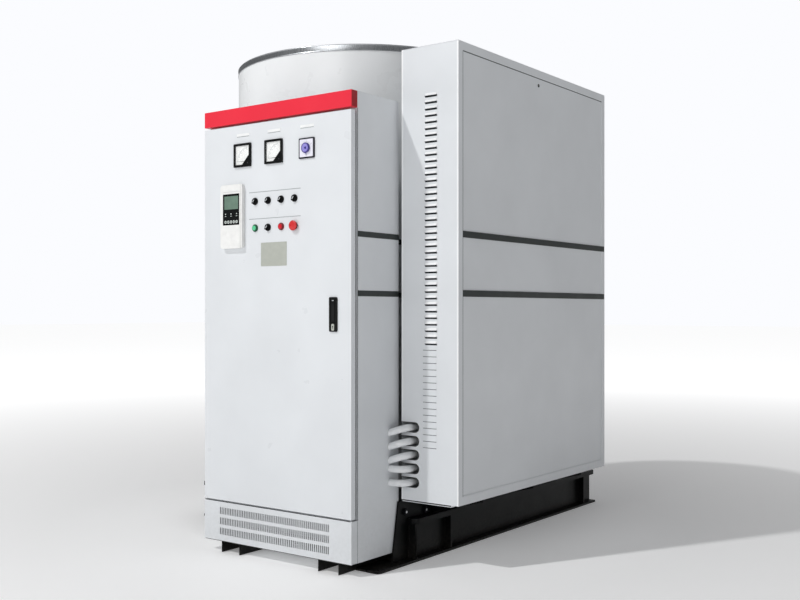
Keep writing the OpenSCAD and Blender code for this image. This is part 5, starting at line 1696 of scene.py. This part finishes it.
@dataclass(frozen=True)
class OperatingDevices(DoorFace):
    """Cam switch, selectors and buttons with their bezels and the contact blocks behind them."""

    columns: float = 298.0
    pitch: float = 71.5
    high: float = 1447.0
    low: float = 1339.0
    bezel: float = 15.0
    bezel_thick: float = 5.0
    sleeve: float = 9.5
    sleeve_long: float = 22.0
    thread: Point = (10.4, 10.7)
    nut: float = 27.0
    knob: float = 12.5
    proud: float = 9.0
    cap: float = 12.6
    travel: float = 3.0
    mushroom: float = 20.0
    mushroom_thick: float = 9.0
    cam_place: Point = (578.0, 1637.0)
    cam_width: float = 80.0
    cam_plate: float = 6.0
    cam_rim: float = 5.8
    cam_knob: float = 20.0
    block: Point = (34.0, 44.0)
    pointer_deg: float = -40.0

    def spots(self) -> list[Point]:
        """Returns the eight places, the upper row first."""
        return [(self.columns + i * self.pitch, z) for z in (self.high, self.low) for i in range(4)]

    def build(self) -> None:
        """Builds the fixed parts, then everything that turns or is pressed."""
        self.build_bezels()
        self.build_blocks()
        for number, (x, z) in enumerate((*self.spots()[:4], self.spots()[5]), start=1):
            self.add_knob(f"selector_knob_{number}", x, z)
        self.add_cam_knob(*self.cam_place)
        self.add_button("green_button", *self.spots()[4], GREEN_CAP, GREEN_BEZEL_AND_SHADE)
        self.add_button("red_button", *self.spots()[6], RED_CAP, RED_BEZEL_AND_SHADE)
        self.add_mushroom(*self.spots()[7])

    def build_bezels(self) -> None:
        """Builds the rings, their sleeves and nuts, and the cam switch's plate."""
        piece = Piece("bezels_turned")
        r, t, s = self.bezel, self.bezel_thick, self.sleeve + 0.1
        plain = [(s, 0), (r, 0), (r, t * 0.6), (r - 0.9, t * 0.94), (r - 2, t), (s + 0.8, t), (s, t - 0.8)]
        floor = t - self.travel - 0.9
        cup = [
            (s, 0), (r, 0), (r, t * 0.6), (r - 0.8, t * 0.95), (r - 1.4, t), (self.cap + 0.5, t - 0.3),
            (self.cap + 0.4, floor), (s, floor),
        ]
        for number, (x, z) in enumerate(self.spots()):
            finish = {4: GREEN_BEZEL_AND_SHADE, 6: RED_BEZEL_AND_SHADE}.get(number, BLACK_PA)
            ring = cup if number in (4, 6) else plain
            piece.add(lathe(ring, 36), finish, self.at(x, z))
            self.add_sleeve(piece, self.at(x, z))
        x, z = self.cam_place
        half, t, bore = self.cam_width / 2, self.cam_plate, circle(0, 0, s, 28)
        piece.add(plate([centred(half, half, 4), bore], t - 0.4, 0.8), CAM_FRAME, self.at(x, z))
        face = half - self.cam_rim
        piece.add(plate([centred(face, face, 2), bore], 0.5, 0.1), CAM_FACE, self.at(x, z, t - 0.5))
        for k, angle in enumerate((-60, 0, 60)):
            turn = self.at(x, z, t, -angle)
            piece.add(block((-0.5, 22.5, 0), (0.5, 26, 0.1)), DARK_PRINT, turn)
            a = math.radians(angle)
            spot = Matrix.Translation((30.5 * math.sin(a), 30.5 * math.cos(a), 0))
            piece.add(digits(str(k), 7, 0.1), DARK_PRINT, self.at(x, z, t) @ spot)
        piece.add(block((-0.9, -33, 0), (0.9, -23, 0.1)), GREY_PRINT, self.at(x, z, t))
        self.add_sleeve(piece, self.at(x, z))
        piece.done("door", "device_bezels")

    def add_sleeve(self, piece: Piece, place: Matrix) -> None:
        """Adds a threaded sleeve through the door and the hexagon nut behind it."""
        s, end = self.sleeve + 0.1, -self.sleeve_long
        root, crest = self.thread
        turns = [(s, end), (root, end)]
        for k in range(6):
            z = end + 1 + k * 1.5
            turns += [(root, z), (crest, z + 0.7)]
        turns += [(crest, -3), (crest, 0), (s, 0)]
        piece.add(lathe(turns, 24), BLACK_PA, place)
        nut = plate([hexagon(self.nut), circle(0, 0, crest + 0.1, 24)], 4, 0.4)
        piece.add(nut, BLACK_PA, place @ shift(0, 0, -6.4))

    def build_blocks(self) -> None:
        """Builds the contact blocks with their screws, behind the door."""
        piece = Piece("contact_blocks_moulded")
        w, d = self.block[0] / 2, self.block[1]
        for x, z in (*self.spots(), self.cam_place):
            back = self.at(x, z, -self.sleeve_long)
            piece.add(block((-w, -w, -d * 0.3), (w, w, 0), 1.2), BLACK_PA, back)
            for side in (-1, 1):
                cell = block((min(side, side * w), -w, -d), (max(side, side * w), w, -d * 0.3 + 0.5), 1.2)
                piece.add(cell, TERMINAL_PA, back)
                for end in (-0.7, 0.7):
                    screw = shift(side * w * 0.52, w * end, -d) @ turned(180, "X")
                    piece.add(pan_head(3, 1.2), ZINC, back @ screw)
        piece.done("door", "contact_blocks")

    def shaft(self, seat: float) -> Mesh:
        """Makes the shaft that runs in the sleeve, from a knob's or button's back."""
        r, end = self.sleeve - 0.3, -seat - self.sleeve_long + 2 * self.travel
        return lathe([(0, 0.1), (r, 0.1), (r, end), (r - 1, end - 0.3), (0, end - 0.3)], 24)

    def add_knob(self, name: str, x: float, z: float) -> None:
        """Adds a selector knob: fluted disc, waisted grip and a pale pointer.

        Args:
            name: the knob's CAD node and body.
            x: place on the door.
            z: place on the door.
        """
        r, half = self.knob, self.proud / 2
        place = self.at(x, z, self.bezel_thick + 0.3, self.pointer_deg)
        piece = Piece(f"{name}_moulded")
        top = half - 0.4
        rim = [(r * 0.93, half - 0.9), (r, half - 1.8), (r, 0.5), (r - 0.5, 0)]
        disc = [(0, top), (r * 0.7, top), *rim, (0, 0)]
        piece.add(lathe(disc, 40), KNOB_PA, place)
        flute = block((-0.7, -0.8, 0.6), (-0.02, 0.8, half - 1.7), 0.2, 1)
        piece.add(repeat_in_ring(f"{name}_flutes", flute, KNOB_PA, 24, r), KNOB_PA, place)
        grip = r / 3
        waist = (
            arc(0, r - grip, grip * 0.9, 0, 180, 10) + [(-grip * 0.75, 0)]
            + arc(0, grip - r, grip * 0.9, 180, 360, 10) + [(grip * 0.75, 0)]
        )
        piece.add(plate([waist], half, 0.9), KNOB_PA, place @ shift(0, 0, half - 0.6))
        pointer = plate([rounded(-grip * 0.5, grip * 0.5, -r * 0.42, r * 0.62, grip * 0.3)], 0.1)
        piece.add(pointer, POINTER_PAINT_AND_GLINT, place @ shift(0, 0, 2 * half - 0.64))
        piece.add(self.shaft(self.bezel_thick), BLACK_PA, place)
        piece.done(name, name)

    def add_cam_knob(self, x: float, z: float) -> None:
        """Adds the violet cam switch knob: dished disc with a rolled rim, dark hub and a nib."""
        r, t = self.cam_knob, self.proud - 0.4
        place = self.at(x, z, self.cam_plate + 0.3)
        piece = Piece("cam_knob_moulded")
        eye, rim = r * 0.78, r * 0.79
        flank = [(eye, 0.4), (eye, t * 0.9), (r * 0.92, t), (r, t * 0.85), (r, t * 0.2), (r - 1.2, 0)]
        low = t * 0.62
        dish = [(0, low), (r * 0.3, low), (r * 0.62, t * 0.78), (rim, t * 0.94), (rim, 0.3), (0, 0.3)]
        hub = [(0, t * 0.95), (3.6, t * 0.9), (5, t * 0.7), (5, t * 0.5), (0, t * 0.5)]
        # The flank in the darker violet is painted shade round the rim.
        for profile, sides, finish in (
            (flank, 48, VIOLET_HUB_AND_SHADE), (dish, 48, VIOLET_PLASTIC), (hub, 28, VIOLET_HUB_AND_SHADE)
        ):
            piece.add(lathe(profile, sides), finish, place)
        flute = block((-0.9, -0.9, 1.6), (-0.02, 0.9, t * 0.8), 0.2, 1)
        piece.add(repeat_in_ring("cam_knob_flutes", flute, VIOLET_HUB_AND_SHADE, 32, r), VIOLET_HUB_AND_SHADE, place)
        nib = plate([[(-2.6, -r + 1), (0, -r - 6), (2.6, -r + 1)]], 1.6, 0.3)
        piece.add(nib, VIOLET_HUB_AND_SHADE, place @ shift(0, 0, 0.4))
        piece.add(self.shaft(self.cam_plate), BLACK_PA, place)
        piece.done("cam_knob", "cam_knob")

    def add_button(self, name: str, x: float, z: float, finish: Finish, rim: Finish) -> None:
        """Adds a flush push button: a shallow-domed cap whose rim is painted darker as shade, on its shaft.
        """
        place = self.at(x, z, self.bezel_thick)
        top, r = 4.0, self.cap - 0.3
        piece = Piece(f"{name}_cap")
        inner = r * 0.8
        dome = [(0, top), (r * 0.5, top - 0.15), (inner, top - 0.55), (inner, -0.2), (0, -0.2)]
        rim_edge = [(r - 0.2, top - 1.6), (r, top - 2.4), (r, 0), (r - 0.3, -0.3)]
        # The cap's outer flank takes the bezel's darker finish: painted shade round its rim.
        flank = [(inner, top - 0.7), *rim_edge, (inner, -0.3)]
        piece.add(lathe(dome, 36), finish, place)
        piece.add(lathe(flank, 36), rim, place)
        stem, end = self.sleeve - 0.3, -self.bezel_thick - self.sleeve_long + 2 * self.travel
        piece.add(lathe([(0, -0.2), (stem, -0.2), (stem, end), (0, end)], 24), BLACK_PA, place)
        piece.done(name, name)

    def add_mushroom(self, x: float, z: float) -> None:
        """Adds the emergency-type mushroom head: rolled rim and a slightly domed face."""
        base = self.bezel_thick + self.travel + 0.3
        r, t = self.mushroom, self.mushroom_thick
        head = [
            (0, t), (r * 0.5, t - 0.3), (r * 0.8, t - 1.2), (r * 0.94, t - 2.8), (r, t - 4.8), (r, 1.8),
            (r - 1.2, 0.3), (r - 3, 0), (0, 0),
        ]
        place = self.at(x, z, base)
        piece = Piece("mushroom_head").add(lathe(head, 44), MUSHROOM_RED, place)
        stem = self.sleeve - 0.3
        depth = base + self.sleeve_long - 2 * self.travel
        piece.add(lathe([(0, 0.2), (stem, 0.2), (stem, -depth), (0, -depth)], 24), BLACK_PA, place)
        piece.done("mushroom_button", "mushroom_button")


@dataclass(frozen=True)
class DoorLabels(DoorFace):
    """Bare name plate, blank label strips and two printed rules."""

    name_place: Point = (400.0, 1231.0)
    name_size: Point = (141.0, 95.0)
    strips: Sizes = (228.0, 402.0, 578.0)
    strip_z: float = 1722.0
    strip_size: Point = (70.0, 14.0)
    rule_x: float = 403.5
    rule_size: Point = (281.0, 3.0)
    rules: Sizes = (1484.0, 1376.0)
    thick: float = 1.0

    def build(self) -> None:
        """Builds them all as one piece, with rivets at the name plate's corners."""
        piece = Piece("door_labels")
        w, h = (s / 2 for s in self.name_size)
        x, z = self.name_place
        piece.add(tile(w, h, 2.5, self.thick * 0.8, 0.2), BARE_PLATE, self.at(x, z))
        rivets = repeat_in_grid("plate_rivets", rivet(1.8, 0.4), ZINC, 2, 2, (w * 2 - 11, h * 2 - 11))
        piece.add(rivets, ZINC, self.at(x, z, self.thick * 0.75))
        w, h = (s / 2 for s in self.strip_size)
        for x in self.strips:
            piece.add(tile(w, h, 1.5, self.thick, 0.25), WHITE_LAMINATE, self.at(x, self.strip_z))
            # A grey band along each strip's lower edge: painted shade under it.
            edge = plate([rounded(0.5 - w, w - 0.5, 0.4 - h, 3.4 - h, 0.5)], 0.1)
            piece.add(edge, RULE_INK_AND_SHADE, self.at(x, self.strip_z, self.thick))
        w, h = (s / 2 for s in self.rule_size)
        for z in self.rules:
            piece.add(tile(w, h, 0.8, self.thick * 0.4, 0.1), RULE_INK_AND_SHADE, self.at(self.rule_x, z))
        piece.done("door", "label_plates")


@dataclass(frozen=True)
class FlushHandle(DoorFace):
    """Flush lift handle: black plate with a recess, lever, and a pale key cover below it."""

    x: float = 713.0
    z: float = 991.0
    width: float = 39.0
    height: float = 132.0
    thick: float = 6.0
    back: float = 28.0
    back_width: float = 27.3
    back_height: float = 121.44
    lever_width: float = 22.0
    lever_low: float = -30.0
    lever_high: float = 58.0
    lever_thick: float = 8.0
    key_drop: float = -49.0

    def build(self) -> None:
        """Builds the plate with its box, then the lever."""
        body = Piece("handle_plate")
        w, h = self.width / 2, self.height / 2
        gap = 0.35
        lw = self.lever_width / 2 + gap
        recess = rounded(-lw, lw, self.lever_low - gap, self.lever_high + gap, 1.5)
        place = self.at(self.x, self.z)
        body.add(plate([centred(w, h, 5), recess], self.thick, 0.9), SATIN_BLACK, place)
        bw, bh = self.back_width / 2, self.back_height / 2
        floor = self.lever_thick - self.thick + 0.4
        throat = plate([centred(bw, bh, 2), recess], floor + 0.2, 0.0)
        body.add(throat, BLACK_PA, place @ shift(0, 0, -floor - 0.1))
        body.add(block((-bw, -bh, -self.back), (bw, bh, -floor), 1.5), BLACK_PA, place)
        shaft = swept([(0, -bh * 0.5, -self.back + 1), (0, -bh * 0.5, -self.back - 9)], 5, 0, 16)
        body.add(shaft, ZINC, place)
        key = place @ shift(0, self.key_drop, self.thick - 0.1)
        body.add(tile(7, 13, 5, 0.7, 0.25), BARE_PLATE, key)
        lift = key @ shift(0, 0, 0.65)
        body.add(plate([circle(0, 2.5, 2.6, 16)], 0.15), SATIN_BLACK, lift)
        body.add(plate([rounded(-1.0, 1.0, -6, 2, 0.8)], 0.14), SATIN_BLACK, lift)
        body.done("door", "lock_body")
        self.build_lever()

    def build_lever(self) -> None:
        """Builds the lever: a hollow-backed bar with a thumb ledge and a pale mark at its top, a painted
        highlight.
        """
        lever = Piece("lift_lever")
        place = self.at(self.x, self.z)
        lw, low, high = self.lever_width / 2, self.lever_low, self.lever_high
        top, bottom = self.thick, self.thick - self.lever_thick
        r, pivot = self.lever_thick / 2, low + self.lever_thick / 2
        sideways = place @ Matrix(((0, 0, -1, 0), (0, 1, 0, 0), (1, 0, 0, 0), (0, 0, 0, 1)))
        tip = [(top, high - 1.5), (top - 1.5, high)]
        web = arc(top - r, pivot, r, -120, 0, 8) + tip + [(bottom + r / 2, high)]
        flank = arc(top - r, pivot, r, -180, 0, 12) + tip + [(bottom, high)]
        for outline, width, start in ((web, 2 * lw, -lw), (flank, 3, -lw), (flank, 3, lw - 3)):
            bar = plate([outline], width, 0.5)
            lever.add(bar, BLACK_PA, sideways @ shift(0, 0, start))
        for k in range(4):
            y = high - 12 - k * 3.2
            lever.add(block((4 - lw, y, top - 0.4), (lw - 4, y + 1.4, top), 0.2, 1), BLACK_PA, place)
        # The pale mark at the lever's top is a painted highlight.
        mark = plate([rounded(-4.5, 4.5, high - 7, high - 3.6, 1.2)], 0.2)
        lever.add(mark, POINTER_PAINT_AND_GLINT, place @ shift(0, 0, top - 0.1))
        lever.done("lock_lever", "lock_lever")


@dataclass(frozen=True)
class WaterSide:
    """Pipes and fittings at the rear and the safety valve on top."""

    flange_front: float = 719.0
    inlet: Point = (-200.0, 560.0)
    outlet: Point = (200.0, 1720.0)
    pipe: float = 44.5
    drain_z: float = 444.0
    collars: Point = (629.0, 685.0)
    collar_bore: float = 17.2
    valve_y: float = 260.0
    valve_low: float = 2118.0
    valve_seat: float = 2154.0
    valve_top: float = 2274.0
    valve_radius: float = 30.0
    outlet_z: float = 2184.0
    outlet_reach: float = 90.0
    outlet_radius: float = 20.0

    def build(self) -> None:
        """Adds weld beads to the flanged pipes, then builds the drain and the safety valve."""
        for node, finish, (x, z) in (
            ("water_inlet", INLET_ENAMEL, self.inlet), ("water_outlet", OUTLET_ENAMEL, self.outlet)
        ):
            piece = Dressing(finish, edge=0.0).start(node)
            ripple = lathe([(0, 1.6), (2.6, 1.0), (3.6, 0), (2.6, -1.0), (0, -1.6)], 8)
            bead = repeat_in_ring(f"{node}_weld", ripple, finish, 84, self.pipe + 0.6)
            piece.add(bead, finish, Facing.FRONT.at(x, self.flange_front, z))
            piece.done("boiler", node)
        drain = Dressing(BRASS, edge=0.0).start("drain_pipe")
        for y in self.collars:
            collar = plate([hexagon(50), circle(0, 0, self.collar_bore, 28)], 8, 0.8)
            drain.add(collar, BRASS, Facing.REAR.at(0, y, self.drain_z))
        drain.done("boiler", "drain_pipe")
        self.build_valve()

    def build_valve(self) -> None:
        """Builds the spring-loaded safety valve with its bonnet, cap, test lever and outlet."""
        piece = Piece("safety_valve_cast")
        r, seat, top = self.valve_radius, self.valve_seat, self.valve_top
        place = shift(0, self.valve_y, 0)
        stand = [(16, self.valve_low - 100), (20, self.valve_low - 100), (20, seat), (16, seat)]
        piece.add(lathe(stand, 32), BRASS, place)
        bonnet = [
            (0, -2), (24, -2), (26, 4), (r, 12), (r, 40), (27, 48), (27, 52), (23, 56), (21, 62), (21, 88),
            (19, 92), (19, 96), (15, 100), (14, 108), (0, 110),
        ]
        piece.add(lathe([(radius, seat + z) for radius, z in bonnet], 40), BRASS, place)
        piece.add(plate([hexagon(50)], 9, 0.8), BRASS, place @ shift(0, 0, seat - 9))
        rib = block((-1.5, -1, seat + 62), (1.2, 1, seat + 86), 0.4, 1)
        piece.add(repeat_in_ring("bonnet_ribs", rib, BRASS, 12, 21), BRASS, place)
        out = [(0, self.valve_y + 12, self.outlet_z), (0, self.valve_y + self.outlet_reach, self.outlet_z)]
        piece.add(swept(out, self.outlet_radius, 16, 32), BRASS)
        nose = plate([hexagon(46), circle(0, 0, 16.2, 28)], 12, 0.8)
        piece.add(nose, BRASS, Facing.REAR.at(0, self.valve_y + self.outlet_reach - 12, self.outlet_z))
        lever = plate([rounded(-8, 50, -7, 7, 6)], 4, 0.8)
        piece.add(lever, LEVER_RED, place @ shift(0, 0, top - 8) @ turned(90, "Z"))
        piece.add(hex_head(13, 4), ZINC, place @ shift(0, 0, top - 4))
        piece.done("boiler", "safety_valve")


@dataclass(frozen=True)
class Light:
    """A soft box of the studio."""

    name: str
    place: Point3
    target: Point3
    size: float
    power: float
    colour: str = "#FFFFFF"

    def hang(self) -> None:
        """Adds the light, turned to its target; places are in metres."""
        data = bpy.data.lights.new(self.name, "AREA")
        data.shape = "DISK"
        data.size = self.size
        data.energy = self.power
        data.color = linear(self.colour)[:3]
        lamp = in_scene(self.name, data)
        lamp.location = self.place
        lamp.rotation_euler = (Vector(self.target) - Vector(self.place)).to_track_quat("-Z", "Y").to_euler()


@dataclass
class Studio:
    """Camera at the photograph's angle, pale floor and soft light."""

    camera_place: Point3 = (3.08196, -3.86292, 1.00818)
    camera_turn_deg: float = 36.6195
    lens: float = 46.16
    shift_y: float = 0.01235
    floor_reach: float = 60.0
    surround_glow: float = 0.19
    lights: list[Light] = field(default_factory=lambda: [
        Light("key", (-3.85, -9.6, 11.8), (0.2, -0.6, 1.0), 0.5, 950),
        Light("front_fill", (1.4, -8.5, 3.2), (0.2, 0.0, 1.0), 4.0, 130),
    ])

    def set_up(self) -> None:
        """Places the camera, the floor, the lights and the white surroundings."""
        data = bpy.data.cameras.new("camera")
        data.lens = self.lens
        data.sensor_width = 36
        data.shift_y = self.shift_y
        data.clip_end = 200
        camera = in_scene("camera", data)
        camera.location = self.camera_place
        camera.rotation_euler = (math.radians(90), 0, math.radians(self.camera_turn_deg))
        bpy.context.scene.camera = camera
        self.lay_floor()
        for light in self.lights:
            light.hang()
        self.surround()

    def lay_floor(self) -> None:
        """Lays a pale floor a hair below the skid."""
        mesh = bpy.data.meshes.new("floor")
        r = self.floor_reach
        mesh.from_pydata([(-r, -r, 0), (r, -r, 0), (r, r, 0), (-r, r, 0)], [], [(0, 1, 2, 3)])
        mesh.materials.append(Backdrop("matt_studio_floor", "light_paint", "#F6F6F6", 0.8).material())
        floor = in_scene("floor", mesh)
        floor.location = (0, 0, -0.0005)

    def surround(self) -> None:
        """Makes a soft white surround that the camera sees as a white backdrop."""
        world = bpy.data.worlds.new("surround")
        world.use_nodes = True
        tree = world.node_tree
        tree.nodes.clear()
        seen = add_node(tree, "ShaderNodeLightPath").outputs["Is Camera Ray"]
        strength = ranged(tree, seen, (0.0, 1.0), (self.surround_glow, 1.0))
        glow = {"Color": linear("#FBFCFF"), "Strength": strength}
        light = add_node(tree, "ShaderNodeBackground", glow)
        add_node(tree, "ShaderNodeOutputWorld", {"Surface": light.outputs[0]})
        bpy.context.scene.world = world
        bpy.context.scene.view_settings.view_transform = "Standard"


def main() -> None:
    """Builds the sub-assemblies in order, then the studio."""
    logging.basicConfig(level=logging.INFO, format="%(message)s")
    for node, dressing in PLAIN_NODES.items():
        dressing.put_on(node)
    assemblies = (
        Skid(), RoundShell(), TerminalBox(), Conduits(), ControlCabinet(), CabinetInside(), PanelMeters(),
        TemperatureController(), OperatingDevices(), DoorLabels(), FlushHandle(), WaterSide(),
    )
    for assembly in assemblies:
        assembly.build()
    Studio().set_up()


if __name__ == "__main__":
    main()
